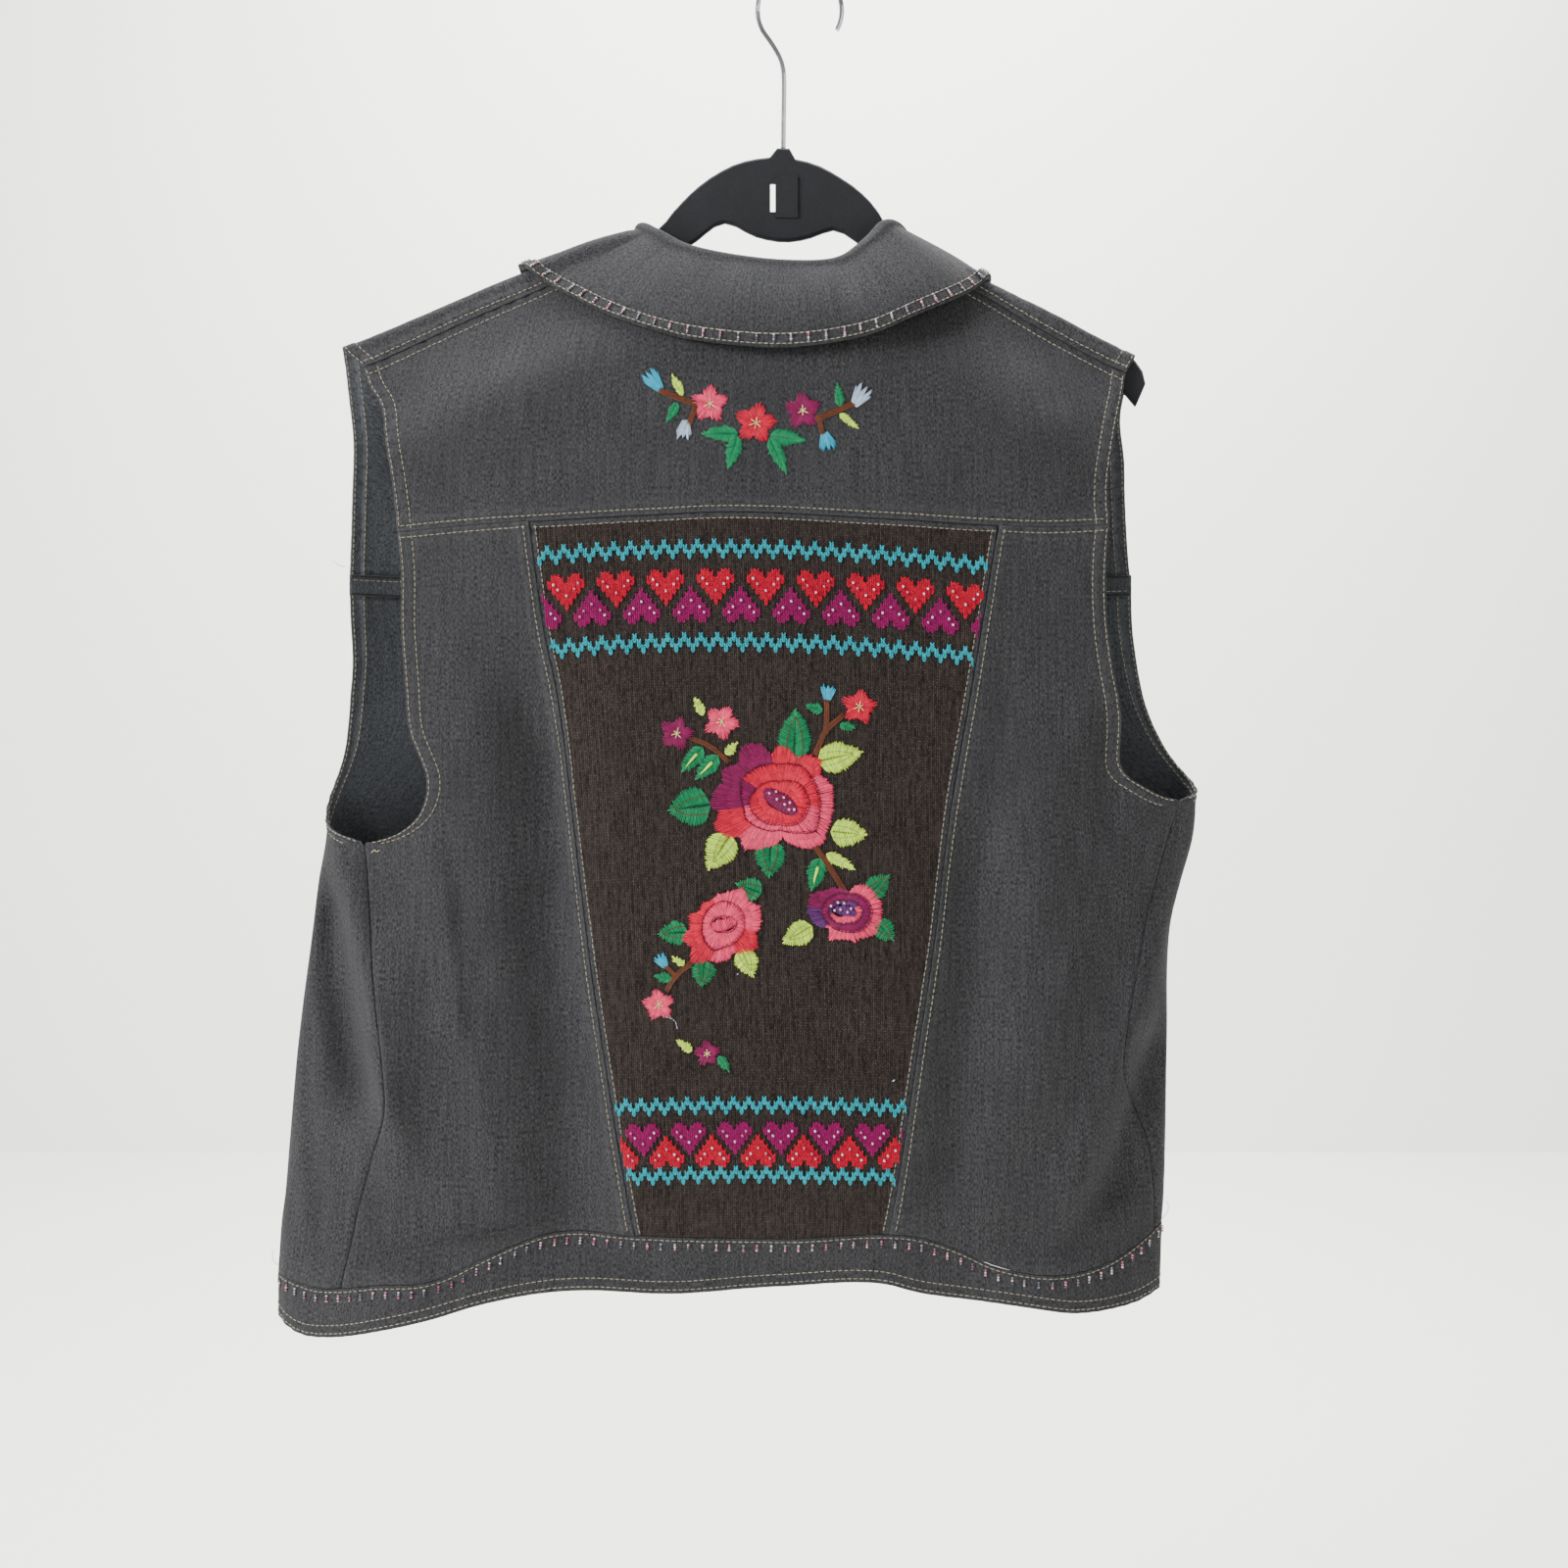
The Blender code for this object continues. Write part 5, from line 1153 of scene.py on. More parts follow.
def layBeads():
    chosen = np.array([colour(code)[:3] for code in beadColours])
    for name, look in beadRows.items():
        places, ways, normals = beadBars(look)
        sizes = np.tile(beadSize, (len(places), 1)) * chanceOf.uniform(0.9, 1.1, (len(places), 1))
        layShapes(name, bead, places + normals * beadLift, ways, normals, sizes,
                  chosen[chanceOf.integers(0, len(chosen), len(places))], beadGlass)


# Knitted bands: charts of one repeat, the rows from the top
heartChart = [".XX...XX.", ".XXX.XXX.", "XXXX.XXXX", "XXXXXXXXX", "XXXXXXXXX", ".XXXXXXX.", ".XXXXXXX.",
              "..XXXXX..", "..XXXXX..", "...XXX...", "...XXX...", "....X....", "....X...."]
heartBeads = [(1, 3.0), (2, 5.0), (4, 7.4), (6, 5.0), (7, 3.0)]
zigzagRows = {0: (0, 3), 1: (2, 5), 2: (4, 7), 3: (2, 5)}
dyes = {"teal": "#1a8f9c", "red": "#ab0428", "magenta": "#7c034c"}
# Tops of the coloured rows in millimetres; for the hearts also their dye, first column and whether
# they are upside down
zigzagTops = (-351.2, -405.6, -672.4, -712.4)
heartRows = ((-368.7, "red", 0, False), (-378.9, "magenta", 6, True),
             (-687.1, "magenta", 0, False), (-694.5, "red", 6, True))
knitBead = {"colours": ("#d3a2b1", "#b06d86", "#c9c4cf"), "lift": 1.1 * mm,
            "size": (0.75 * mm, 0.95 * mm, 0.95 * mm), "fromSeam": 3 * mm}
# Legs of a stitch, in shares of its column and row
yarnLeg = {"lift": 0.35 * mm, "size": (1.42 * mm, 0.62 * mm, 0.5 * mm), "middle": 0.24, "top": 0.42,
           "low": 0.06, "reach": 0.75, "fromSeam": 2 * mm}


def backPlace(x, z):
    return clothPoint(x, z, np.full_like(x, back))


# Whether places lie between the two princess seams
def withinKnit(x, z, margin):
    left, right = [np.interp(-z, -line[:, 1], line[:, 0])
                   for line in (np.array(seams[name]) * mm for name in ("princessLeft", "princessRight"))]
    return (x > left + margin) & (x < right - margin)


# Two slanted legs for each coloured stitch of a band
def knitStitches(cells, bandTop, code):
    column, row = np.array(cells, float).T
    places, ups, ways = [], [], []
    for hand in (-1, 1):
        x, z = knitPlace(column + hand * yarnLeg["middle"], row, bandTop)
        topX, topZ = knitPlace(column + hand * yarnLeg["top"], row - yarnLeg["reach"], bandTop)
        lowX, lowZ = knitPlace(column + hand * yarnLeg["low"], row + yarnLeg["reach"], bandTop)
        keep = withinKnit(x, z, yarnLeg["fromSeam"])
        points, normals = surfaceAt(backPlace, x[keep], z[keep])
        tops, lows = backPlace(topX[keep], topZ[keep]), backPlace(lowX[keep], lowZ[keep])
        places.append(points + normals * yarnLeg["lift"])
        ups.append(normals)
        ways.append(tops - lows)
    tint = np.concatenate([varied(code, len(way), 0.16) for way in ways])
    return np.concatenate(places), np.concatenate(ways), np.concatenate(ups), tint


def layBands():
    made = {"zigzag_stitches": [], "heart_stitches": []}
    beads = []
    for top in zigzagTops:
        cells = [(column, row) for column in range(-70, 71) for row in range(*zigzagRows[column % 4])]
        made["zigzag_stitches"].append(knitStitches(cells, top * mm, dyes["teal"]))
    for top, code, offset, inverted in heartRows:
        rows = heartChart[::-1] if inverted else heartChart
        centres = [offset + 12 * k for k in range(-6, 7)]
        cells = [(centre + column - 4, row) for centre in centres for row, line in enumerate(rows)
                 for column, mark in enumerate(line) if mark == "X"]
        made["heart_stitches"].append(knitStitches(cells, top * mm, dyes[code]))
        beads += [(centre + column - 4, len(rows) - 1 - row if inverted else row, top * mm)
                  for centre in centres for column, row in heartBeads]
    for name, groups in made.items():
        places, ways, normals, tints = [np.concatenate(part) for part in zip(*groups)]
        layShapes(name, thread, places, ways, normals, yarnLeg["size"], tints, yarnDye)
    spots = [knitPlace(column, row, bandTop) for column, row, bandTop in beads]
    x, z = np.array(spots).T
    keep = withinKnit(x, z, knitBead["fromSeam"])
    points, normals = surfaceAt(backPlace, x[keep], z[keep])
    ways = np.tile([1.0, 0, 0.2], (len(points), 1))
    chosen = np.array([colour(code)[:3] for code in knitBead["colours"]])
    layShapes("heart_beads", bead, points + normals * knitBead["lift"], ways, normals, knitBead["size"],
              chosen[chanceOf.integers(0, 3, len(points))], beadGlass)


# Embroidery in stranded cotton: satin stitch fans, each thread a raised strand on the cloth.
# The sprigs are ordinary flowers and leaves, worked out from their centres, sizes and angles.
# Width of a satin stitch, its half width and half height as shares of that, and how far its ends reach on
flossLook = {"width": 0.98 * mm, "half": 0.44, "high": 0.55, "reach": 0.25 * mm}
flossColours = {
    "red": "#c50a33", "pink": "#dd3c63", "magenta": "#7a0348", "violet": "#5a2366", "green": "#06794a",
    "lime": "#bfe04c", "brown": "#57290f", "blue": "#1898b8", "pale": "#a9b9cf", "cream": "#f2dc98",
    "line": "#2c0a10", "shade": "#5d7a1c",
}
strand = smallShape(6, 4)
girth = np.hypot(strand[0][:, 0], strand[0][:, 1])
# Fuller towards its ends than a ball, so that neighbouring threads close up
fuller = np.where(girth > 0.01, np.sqrt(np.maximum(0, 1 - strand[0][:, 2] ** 4)) / np.maximum(girth, 0.01), 1)
strand[0][:, :2] *= fuller[:, None]
needlework = []


# Straight threads between places (X, Z) in millimetres, raised by a lift in millimetres
def strands(starts, ends, code, lift=0.3, width=1.0, ragged=0.75):
    starts, ends = np.atleast_2d(starts).astype(float), np.atleast_2d(ends).astype(float)
    ways = ends - starts
    lengths = np.maximum(np.linalg.norm(ways, axis=1, keepdims=True), 0.5)
    ends = ends + ways / lengths * chanceOf.uniform(-ragged, ragged, (len(ends), 1))
    ends = ends + chanceOf.normal(0, 0.09, ends.shape)
    lifts = lift + chanceOf.uniform(-0.09, 0.09, len(starts))
    widths, tints = np.full(len(starts), width), varied(flossColours[code], len(starts), 0.2)
    needlework.append((starts, ends, lifts, widths, tints))


# Places at angles in degrees and radii round a centre
def spot(centre, angle, radius):
    angle = np.radians(angle)
    return np.column_stack([centre[0] + radius * np.cos(angle), centre[1] + radius * np.sin(angle)])


# A fine line of short stitches through some places
def backstitch(points, code="line", width=0.5, lift=0.75, closed=False):
    points = np.asarray(points, float)
    if closed:
        points = np.vstack([points, points[:1]])
    gone = np.concatenate([[0], np.cumsum(np.linalg.norm(np.diff(points, axis=0), axis=1))])
    count = max(2, int(gone[-1] / 2.1))
    places = np.linspace(0, gone[-1], count + 1)
    line = np.column_stack([np.interp(places, gone, column) for column in points.T])
    strands(line[:-1], line[:-1] + (line[1:] - line[:-1]) * 0.78, code, lift, width, 0.05)


# Five petals of radial stitches with a small star in the middle
def flower(centre, radius, code, turn):
    count = int(2 * np.pi * radius * 0.78)
    angles = np.linspace(0, 360, count, endpoint=False)
    fromAxis = np.abs((angles - turn + 36) % 72 - 36) / 36
    reach = radius * (0.60 + 0.43 * (1 - fromAxis) ** 0.75)
    inner = radius * np.where(np.arange(count) % 2 == 0, 0.10, 0.36)
    strands(spot(centre, angles, inner), spot(centre, angles, reach), code, 0.35)
    star = np.arange(6) * 60 + turn
    lengths = radius * np.array([0.34, 0.22, 0.30, 0.24, 0.33, 0.2])
    strands(spot(centre, star, 0.2), spot(centre, star, lengths), "cream", 0.95, 0.55)


# Line on a leaf: where it starts and ends along it, its share of the width, colour, thread width and lift
midribs = {"loop": (0.08, 0.86, 0.46, "brown", 0.75, 0.8), "plain": (0.05, 0.8, 0.42, "shade", 0.5, 0.75)}


# Herringbone leaf between its base and tip, with a stitched loop, a pale slit or a plain midrib
def leaf(base, tip, width, code, style="plain"):
    base, tip = np.array(base, float), np.array(tip, float)
    way = tip - base
    length = np.linalg.norm(way)
    way = way / length
    aside = np.array([-way[1], way[0]])
    t = np.linspace(0.0, 0.93, max(5, int(length / 0.86)))
    for hand in (-1, 1):
        later = np.minimum(1, t + 0.13)
        half = width / 2 * np.sin(np.pi * later ** 0.72) ** 0.8
        starts = base + way * length * t[:, None] - aside * hand * 0.15
        ends = base + way * length * later[:, None] + aside * hand * half[:, None]
        strands(starts, ends, code, 0.3)
    if style == "slit":
        for shift in (-0.55, 0, 0.55):
            strands(base + way * length * 0.25 + aside * shift,
                    base + way * length * (0.78 - abs(shift) * 0.1), "lime", 0.8)
    elif style == "loop" or width > 12:
        start, end, share, line, thickness, lift = midribs[style]
        u = np.linspace(start, end, 12)
        half = width / 2 * share * np.cos(np.pi / 2 * ((u - start) / (end - start)) ** 1.6)
        for hand in (-1, 1):
            backstitch(base + way * length * u[:, None] + aside * hand * half[:, None], line, thickness, lift)


# Small three-pointed bud that fans out from its base
def bud(base, tip, width, code):
    base, tip = np.array(base, float), np.array(tip, float)
    way = tip - base
    aside = np.array([-way[1], way[0]]) / np.linalg.norm(way)
    u = np.linspace(-1, 1, max(9, int(width * 1.5)))
    reach = 0.86 + 0.13 * np.cos(3 * np.pi * u)
    starts = base + aside * (u * width * 0.16)[:, None]
    strands(starts, base + way * reach[:, None] + aside * (u * width * 0.44)[:, None], code, 0.35)


# Stem stitch: short slanted stitches that overlap along a path
def twig(points, width):
    path = smoothLine(np.array(points, float), max(4, int(len(points) * 7)))
    way = np.gradient(path, axis=0)
    way = way / np.linalg.norm(way, axis=1, keepdims=True)
    aside = np.column_stack([-way[:, 1], way[:, 0]])
    for lane in np.linspace(-0.5, 0.5, max(2, int(round(width / 0.8)))):
        middle = path + aside * lane * (width - 0.8)
        strands(middle - way * 2.2 - aside * 0.25, middle + way * 2.2 + aside * 0.25, "brown", 0.35, 0.95)


# Radius at each angle from a table of (degrees, radius) that closes on itself
def ringOf(table, angles):
    table = np.array(table, float)
    keys = np.concatenate([table[:, 0] - 360, table[:, 0], table[:, 0] + 360])
    return np.interp(angles % 360, keys, np.tile(table[:, 1], 3))


# Rings of radial stitches, each ring cut into petals of one colour, round a filled heart
def rose(centre, rings, sectors, heart, lines):
    for order, (outer, inner) in enumerate(zip(rings, rings[1:])):
        meanRadius = np.mean([r for _, r in outer])
        angles = np.linspace(0, 360, int(2 * np.pi * meanRadius / 0.86), endpoint=False)
        far, near = ringOf(outer, angles), ringOf(inner, angles) - 0.8
        reach, lift = far - near, 0.6 + 0.12 * order
        for code, start, end in sectors[order]:
            chosen = (angles - start) % 360 < (end - start)
            lean = chanceOf.uniform(-1.2, 1.2, chosen.sum())
            longOnes, short = chosen & (reach > 9.5), chosen & (reach <= 9.5)
            # A petal too deep for one stitch takes two that overlap
            for part, (low, high) in enumerate(((0.0, 0.58), (0.44, 1.0))):
                starts, ends = (near + reach * low)[longOnes], (near + reach * high)[longOnes]
                strands(spot(centre, angles[longOnes], starts), spot(centre, angles[longOnes], ends),
                        code, lift + 0.08 * part)
            strands(spot(centre, angles[short] + lean[:short.sum()], near[short]),
                    spot(centre, angles[short], far[short]), code, lift)
    for order in lines:
        angles = np.linspace(0, 360, 90, endpoint=False)
        outline = spot(centre, angles, ringOf(rings[order], angles) + 0.2)
        backstitch(outline, "line", 0.6, 1.05 + 0.12 * order, True)
    code, halfLong, halfShort, tilt = heart
    tilt = np.radians(tilt)
    lengthwise, crosswise = np.array([np.cos(tilt), np.sin(tilt)]), np.array([-np.sin(tilt), np.cos(tilt)])
    u = np.linspace(-0.95, 0.95, int(halfLong * 2 / 0.8))[:, None]
    half = halfShort * np.sqrt(1 - u ** 2)
    middle = np.array(centre) + lengthwise * u * halfLong
    strands(middle - crosswise * half, middle + crosswise * half, code, 1.15)


# Sprays, in millimetres of (X, Z). Leaves and buds: base, tip, width, colour; flowers: centre, radius,
# colour, turn in degrees. Roses: centre, rings of (degrees, radius) from the outside in, petals of each
# ring as (colour, from, to), heart as (colour, half length, half width, turn), rings that are outlined
centreSpray = {
    "leaves": [
        (-3.7, -478, -2.6, -449, 20, "green", "loop"), (10, -479, 36, -473.5, 18, "lime", "plain"),
        (-52, -504, -76.5, -507.5, 23, "green", "loop"),
        (-40.5, -521.5, -53, -541.5, 19, "lime", "plain"),
        (-17, -525, -18, -546, 18, "green", "loop"),
        (17.5, -519.5, 38.5, -521.5, 16.5, "lime", "plain"),
        (15, -532.5, 31.5, -541.5, 7, "lime", "plain"),
        (11.3, -535, 6.3, -554, 10.5, "green", "slit"),
        (39.5, -556, 51, -545, 13, "green", "loop"),
        (44, -571.5, 53.5, -582, 12.5, "green", "loop"),
        (6.5, -574, -10, -583.5, 14.5, "lime", "plain"),
        (-22.5, -555, -37, -549.5, 13.5, "green", "loop"),
        (-65, -577, -81.5, -578.5, 14, "green", "loop"),
        (-34, -587, -27, -603, 13.5, "lime", "plain"),
        (-55, -593.5, -56.5, -608.5, 14, "green", "loop"),
        (-67, -596, -73.5, -591.5, 4.5, "lime", "plain"),
        (-74, -604, -84, -602.3, 6, "green", "plain"),
        (-56.5, -452.5, -61, -442, 5, "lime", "plain"),
        (-43, -475, -36, -468, 5.5, "lime", "plain"),
        (-56.5, -471, -68.5, -485, 10, "green", "slit"),
        (-47.5, -476, -60.5, -489.5, 10, "green", "slit"),
        (12.5, -450, 3.5, -446.5, 6, "green", "plain"),
        (23, -458, 32, -460, 5.5, "green", "plain"),
        (-62.5, -645.5, -71, -639.5, 5.5, "lime", "plain"),
        (-47, -648.5, -41, -657, 5.5, "green", "plain"),
    ],
    "twigs": [
        (2.6, [(-61, -466.5), (-51.5, -471), (-42.5, -478.5)]),
        (3.0, [(9, -474), (14.7, -461.5), (23.5, -453.5)]),
        (2.8, [(14.7, -461.5), (15.2, -453), (15.2, -445)]),
        (3.2, [(7.5, -527), (14, -536), (25, -553)]),
        (2.8, [(-63, -595), (-71.5, -602.5), (-76, -609)]),
        (2.4, [(-76.5, -597.5), (-71.5, -602.5)]),
    ],
    "buds": [
        (15.5, -444, 16.3, -434.5, 9.5, "blue"), (-77, -597.5, -82, -590, 8, "blue"),
    ],
    "flowers": [
        (-71.5, -463, 10.3, "magenta", 75), (-45.5, -456.5, 10.6, "pink", 65),
        (34, -447.5, 10.6, "red", 80), (-81.5, -619, 9.6, "pink", 100),
        (-53.5, -647, 7.8, "magenta", 95),
    ],
    "roses": [
        ((-11.5, -502.5), [
            [(0, 31), (20, 31.5), (34, 27.5), (45, 34), (58, 32.5), (70, 27.5), (80, 31), (92, 33),
             (101, 28.5), (108, 35.5), (125, 40), (137, 33), (150, 38.5), (162, 35.5), (172, 40), (184, 41),
             (190, 36), (200, 41.5), (213, 38.5), (221, 31), (233, 35), (250, 28.5), (263, 25.5),
             (273, 20.5), (285, 26), (300, 31.5), (315, 34.5), (335, 31.5)],
            [(0, 23), (30, 22.5), (60, 24), (90, 21.5), (120, 24), (150, 26), (170, 23.5), (190, 21.5),
             (205, 22.5), (235, 19), (270, 16), (300, 20.5), (320, 26.5), (345, 23)],
            [(0, 16.5), (45, 15), (90, 11.5), (135, 14.5), (180, 18.5), (225, 15.5), (270, 13), (315, 16.5)],
            [(0, 7), (45, 5), (90, 5), (145, 11), (180, 8), (225, 5), (270, 5), (325, 11)],
        ], [
            [("red", 36, 102), ("magenta", 102, 188), ("red", 188, 220), ("pink", 220, 396)],
            [("red", -8, 150), ("magenta", 150, 186), ("pink", 186, 352)],
            [("red", 0, 360)],
        ], ("magenta", 12, 5.6, -35), (1, 2, 3)),
        ((-44.3, -572.8), [
            [(0, 22), (25, 23.5), (45, 20), (60, 24), (80, 19), (100, 17.5), (118, 15), (135, 17.5),
             (150, 15.5), (165, 20.5), (185, 19), (200, 25.5), (215, 23), (230, 29), (248, 23),
             (262, 22), (275, 21), (290, 18), (310, 21), (325, 24.5), (345, 20)],
            [(0, 12), (45, 13), (90, 13), (135, 12), (180, 12), (225, 14.5), (250, 16), (270, 13), (315, 12)],
            [(0, 7.5), (90, 4), (180, 7.5), (270, 4)],
        ], [
            [("pink", -12, 112), ("red", 112, 250), ("pink", 250, 296), ("red", 296, 348)],
            [("pink", 0, 360)],
        ], ("pink", 7.5, 3.8, 15), (1, 2)),
        ((26.3, -565.5), [
            [(0, 21), (30, 20.5), (55, 19), (68, 16), (80, 11.5), (100, 13.5), (120, 15.5), (140, 18),
             (155, 23.5), (170, 22), (180, 23), (200, 20.5), (212, 17.5), (225, 14), (240, 19.5),
             (255, 17), (268, 16), (285, 18.5), (300, 18), (318, 21.5), (340, 21)],
            [(0, 15), (45, 12.5), (90, 9.5), (135, 12), (180, 14.5), (225, 12), (270, 11.5), (315, 14.5)],
            [(0, 9.5), (90, 5.5), (180, 10.5), (270, 6.8)],
            [(0, 6), (90, 4), (180, 9), (270, 1.5)],
        ], [
            [("magenta", 80, 172), ("violet", 172, 216), ("pink", 216, 440)],
            [("magenta", 0, 360)],
            [("violet", 20, 190), ("pink", 190, 380)],
        ], ("violet", 6.5, 3.2, -12), (1, 2)),
    ],
    "tail": ([(-79.5, -625), (-75, -626.5), (-72, -628), (-70.5, -633)], "pale", 0.45, 0.6),
    "specks": ([(-36.4, -601.4), (53.2, -663.6)], [(-35.6, -601.0), (54.0, -663.0)], "pale", 0.6, 0.9),
}
yokeSpray = {
    "leaves": [
        (-68.5, -266, -74.5, -254, 4.5, "lime"), (-71.5, -270.5, -77.7, -281.5, 5.5, "green"),
        (-36.5, -288.5, -57, -288.5, 9.5, "green"), (-36.5, -290, -42, -309, 9, "green"),
        (-17.3, -289.3, 3, -292.3, 9.5, "green"), (-17.8, -290.7, -8, -311.5, 8.5, "green"),
        (23, -272.5, 21.6, -259, 5.5, "green"), (23, -277, 33.5, -285, 4.5, "lime"),
    ],
    "twigs": [
        (3.2, [(-80.8, -263.6), (-69.5, -268), (-61, -271)]),
        (3.0, [(-61.6, -274.5), (-64.6, -282.4)]),
        (3.2, [(10.8, -279.4), (18.2, -276.5), (30.5, -271)]),
        (3.0, [(10.8, -279.4), (12.8, -287.8)]),
    ],
    "buds": [
        (-81, -263, -90, -252, 11.5, "blue"), (-66.5, -280.4, -68.5, -292, 10, "pale"),
        (31, -272, 39, -260.5, 12, "pale"), (13.8, -287.5, 17, -298.5, 11, "blue"),
    ],
    "flowers": [
        (-52.7, -271, 11.3, "pink", 88), (-25.9, -282.4, 12.4, "red", 80),
        (1.4, -275, 11.2, "magenta", 92),
    ],
}


def workSpray(spray):
    for baseX, baseZ, tipX, tipZ, *look in spray["leaves"]:
        leaf((baseX, baseZ), (tipX, tipZ), *look)
    for width, points in spray["twigs"]:
        twig(points, width)
    for baseX, baseZ, tipX, tipZ, *look in spray["buds"]:
        bud((baseX, baseZ), (tipX, tipZ), *look)
    for x, z, *look in spray["flowers"]:
        flower((x, z), *look)
    for each in spray.get("roses", ()):
        rose(*each)
    if "tail" in spray:
        backstitch(*spray["tail"])
        strands(*spray["specks"])


# Turns the strands worked so far into one piece on the cloth
def layNeedlework(name):
    starts, ends, lifts, widths, tints = [np.concatenate(part) for part in zip(*needlework)]
    needlework.clear()
    starts, ends = starts * mm, ends * mm
    points, normals = surfaceAt(backPlace, (starts[:, 0] + ends[:, 0]) / 2, (starts[:, 1] + ends[:, 1]) / 2)
    ways = backPlace(ends[:, 0], ends[:, 1]) - backPlace(starts[:, 0], starts[:, 1])
    lengths = np.linalg.norm(ways, axis=1)
    widths = widths * flossLook["width"]
    sizes = np.column_stack([lengths / 2 + flossLook["reach"], widths * flossLook["half"],
                             widths * flossLook["high"]])
    layShapes(name, strand, points + normals * lifts[:, None] * mm, ways, normals, sizes, tints, floss)
    print(name, len(points))


# Pale glass beads in the hearts of the two larger roses
roseBeads = [
    (-18, -497.5), (-14, -496.5), (-13.5, -501), (-9.5, -500), (-9, -504), (-6, -503), (-6.5, -507),
    (-3.5, -507), (17.5, -562.5), (21.5, -560.5), (25, -561), (23, -564.5), (27, -566), (29, -564),
    (19.5, -565),
]
roseBead = {"colour": "#e7b7c6", "lift": 1.9 * mm, "size": (0.75 * mm, 0.9 * mm, 0.9 * mm)}


def layRoseBeads():
    x, z = np.array(roseBeads).T * mm
    points, normals = surfaceAt(backPlace, x, z)
    ways = np.tile([1.0, 0, 0.3], (len(points), 1))
    layShapes("rose_beads", bead, points + normals * roseBead["lift"], ways, normals, roseBead["size"],
              varied(roseBead["colour"], len(points)), beadGlass)


# Frayed thread ends where the seams finish, as places in millimetres
looseEnds = [
    [(-313.5, -7, -781), (-315.5, -8, -779), (-317, -7, -775.5), (-316, -6, -772)],
    [(218, -7, -753), (220, -8, -750), (221.5, -7, -746), (220.5, -6, -743)],
    [(-274.5, -3, -361), (-277.5, -4, -360.5), (-280, -4, -358.5), (-282, -3, -357.5)],
    [(-249, -40.5, -532), (-247, -41.5, -530.5), (-245.5, -42, -531.5), (-244, -42, -530.5)],
]
looseThread = {"colour": "#b5a888", "radius": 0.24 * mm, "overlap": 0.72, "steps": 9}


def layLooseEnds():
    places, ways = [], []
    for end in looseEnds:
        line = smoothLine(np.array(end) * mm, looseThread["steps"])
        places.append((line[1:] + line[:-1]) / 2)
        ways.append(line[1:] - line[:-1])
    places, ways = np.concatenate(places), np.concatenate(ways)
    normals = np.cross(ways, np.tile([0.3, 0.2, 1.0], (len(ways), 1)))
    normals /= np.linalg.norm(normals, axis=-1, keepdims=True)
    lengths = np.linalg.norm(ways, axis=-1)
    radii = np.full(len(places), looseThread["radius"])
    sizes = np.column_stack([lengths * looseThread["overlap"], radii, radii])
    tints = varied(looseThread["colour"], len(places))
    layShapes("loose_ends", thread, places, ways, normals, sizes, tints, seamThread)


sewSeams()
layLooseEnds()
layBeads()
layBands()
workSpray(centreSpray)
layNeedlework("center_embroidery")
workSpray(yokeSpray)
layNeedlework("yoke_embroidery")
layRoseBeads()
print("stitches, beads and bands laid")

# The hanger and the buttons keep their own shape
carried = {"hanger_body": velvet, "hanger_hook": chrome}
carried.update({f"button_{number}": nickel for number in range(1, 7)})
for name, material in carried.items():
    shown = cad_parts[name].data.materials
    shown.clear()
    shown.append(material)

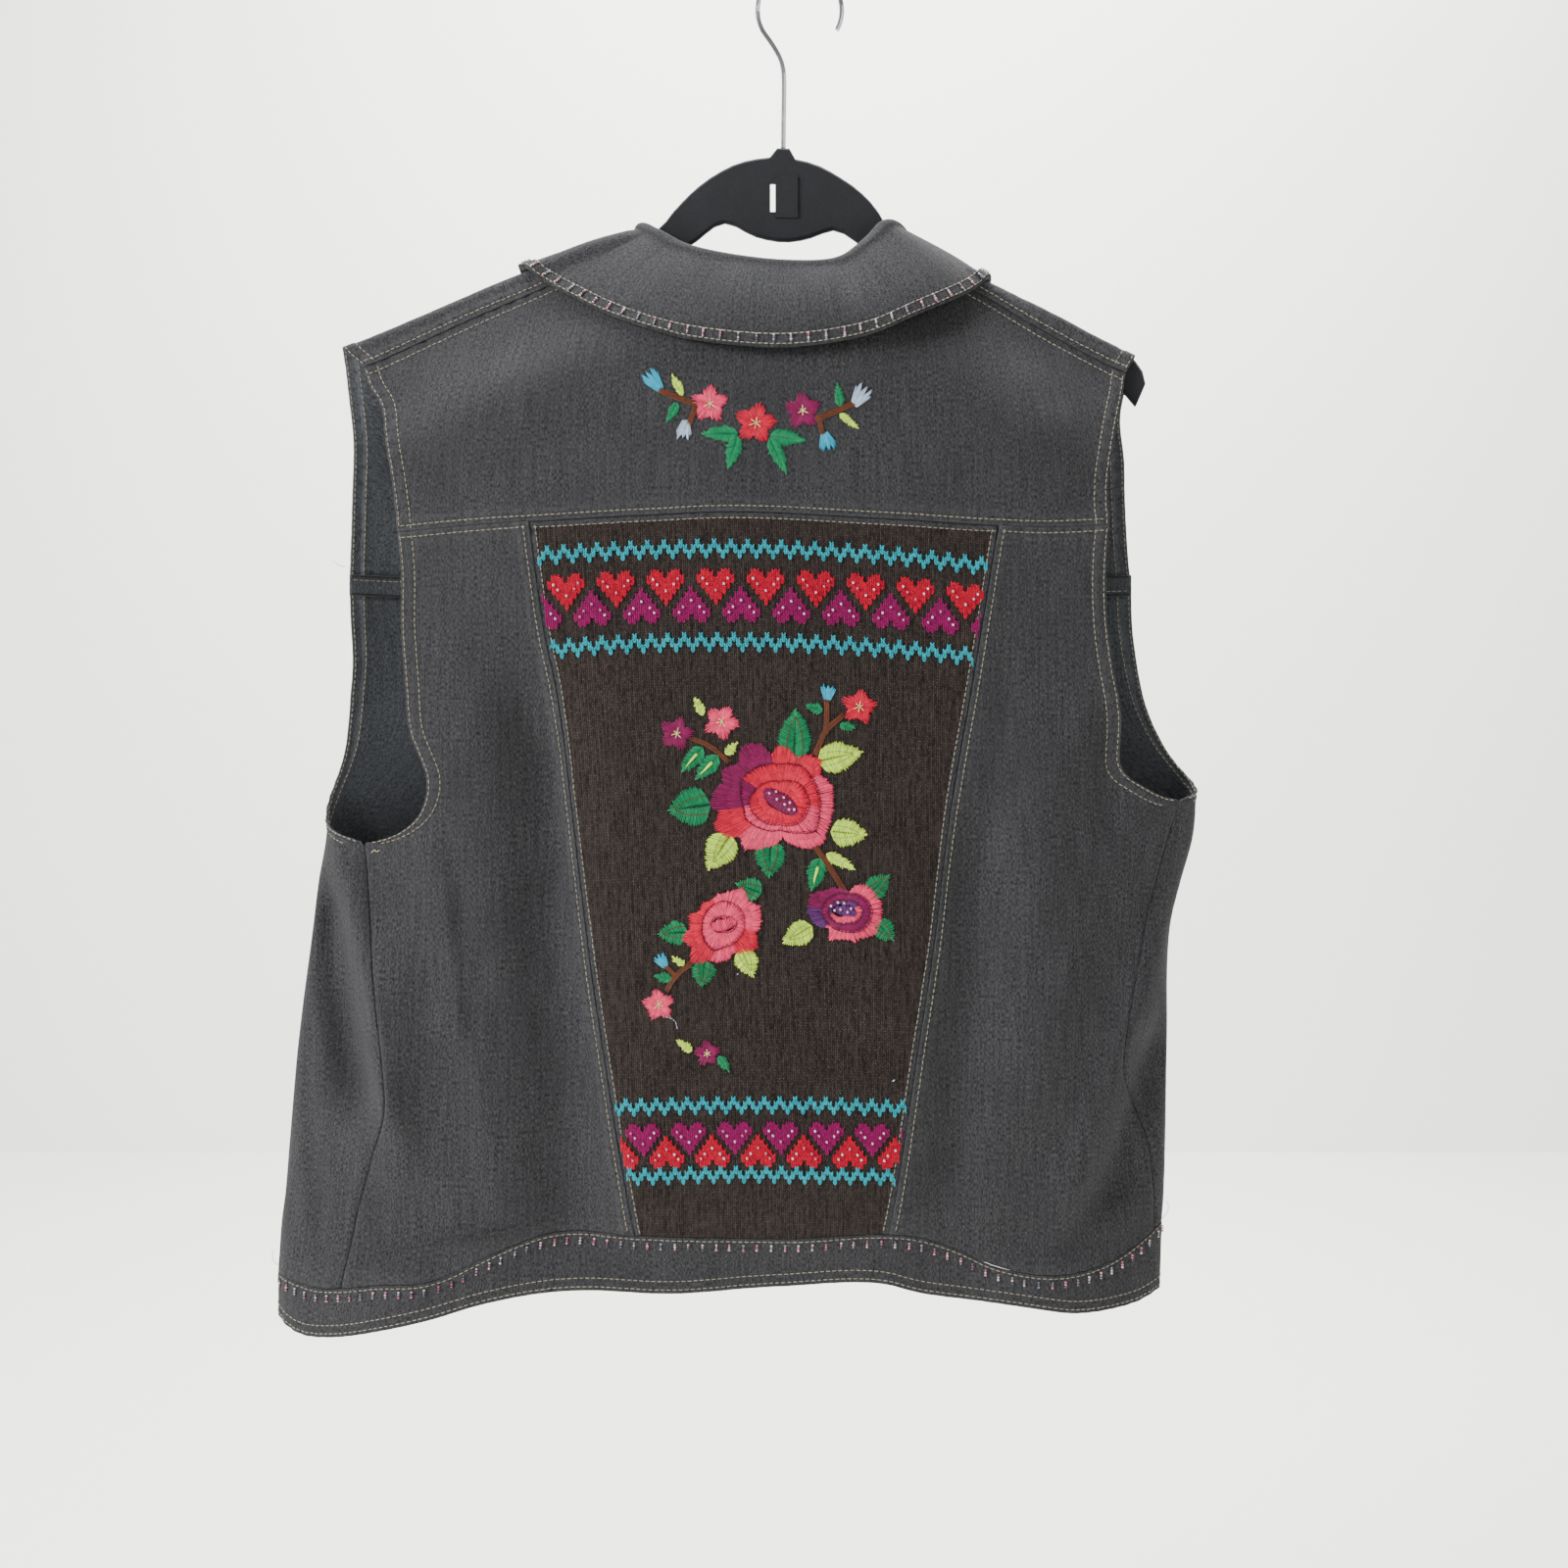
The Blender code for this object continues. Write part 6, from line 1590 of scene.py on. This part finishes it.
# Room: pale floor and backdrop, soft light, camera at the photo's place
# Each lamp has its place, the point it faces, its size in metres and its power in watts
room = {
    "paint": "#f3f3ef", "floorHeight": -1.25, "wallDepth": 2.4, "halfSize": 4,
    "sky": "#f2f2f0", "skyStrength": 0.5,
    "lamps": {
        "key": ((-2.4, -1.3, 0.7), (0, 0, -0.5), 1.1, 150),
        "fill": ((2.0, -1.7, 0.1), (0, 0, -0.5), 2.2, 26),
        "top": ((0, -0.4, 1.9), (0, 0, -0.5), 1.4, 10),
        "front": ((1.4, 2.0, 2.3), (0, 0, -0.5), 1.0, 90),
        "wash": ((0, 0.5, 1.9), (0, 2.4, -0.3), 1.6, 235),
    },
}


def buildRoom():
    shape = bmesh.new()
    bmesh.ops.create_grid(shape, x_segments=1, y_segments=1, size=room["halfSize"])
    mesh = bpy.data.meshes.new("floor")
    shape.to_mesh(mesh)
    shape.free()
    paint, _, _ = newMaterial("matte paint", {"Base Color": colour(room["paint"]), "Roughness": 0.9})
    mesh.materials.append(paint)
    floor, wall = bpy.data.objects.new("floor", mesh), bpy.data.objects.new("backdrop", mesh.copy())
    floor.location = (0, 0, room["floorHeight"])
    wall.rotation_euler = (math.radians(90), 0, 0)
    wall.location = (0, room["wallDepth"], 0)
    for piece in (floor, wall):
        bpy.context.scene.collection.objects.link(piece)
    for name, (place, target, size, power) in room["lamps"].items():
        data = bpy.data.lights.new(name, "AREA")
        data.size, data.energy = size, power
        lamp = bpy.data.objects.new(name, data)
        lamp.location = place
        lamp.rotation_euler = (Vector(target) - Vector(place)).to_track_quat("-Z", "Y").to_euler()
        bpy.context.scene.collection.objects.link(lamp)
    world = bpy.data.worlds.new("studio")
    world.use_nodes = True
    sky = world.node_tree.nodes["Background"].inputs
    sky["Color"].default_value = colour(room["sky"])
    sky["Strength"].default_value = room["skyStrength"]
    bpy.context.scene.world = world


# Level camera one metre from the hanger; half the view is 0.4744 of the distance
view = {"sensor": 36, "halfView": 0.4744, "place": (-9.5 * mm, -1.0, -492.2 * mm)}


def placeCamera():
    data = bpy.data.cameras.new("camera")
    data.sensor_width = view["sensor"]
    data.lens = view["sensor"] / (2 * view["halfView"])
    camera = bpy.data.objects.new("camera", data)
    camera.location = view["place"]
    camera.rotation_euler = (math.radians(90), 0, 0)
    bpy.context.scene.collection.objects.link(camera)
    bpy.context.scene.camera = camera


buildRoom()
placeCamera()
print("room and camera set")
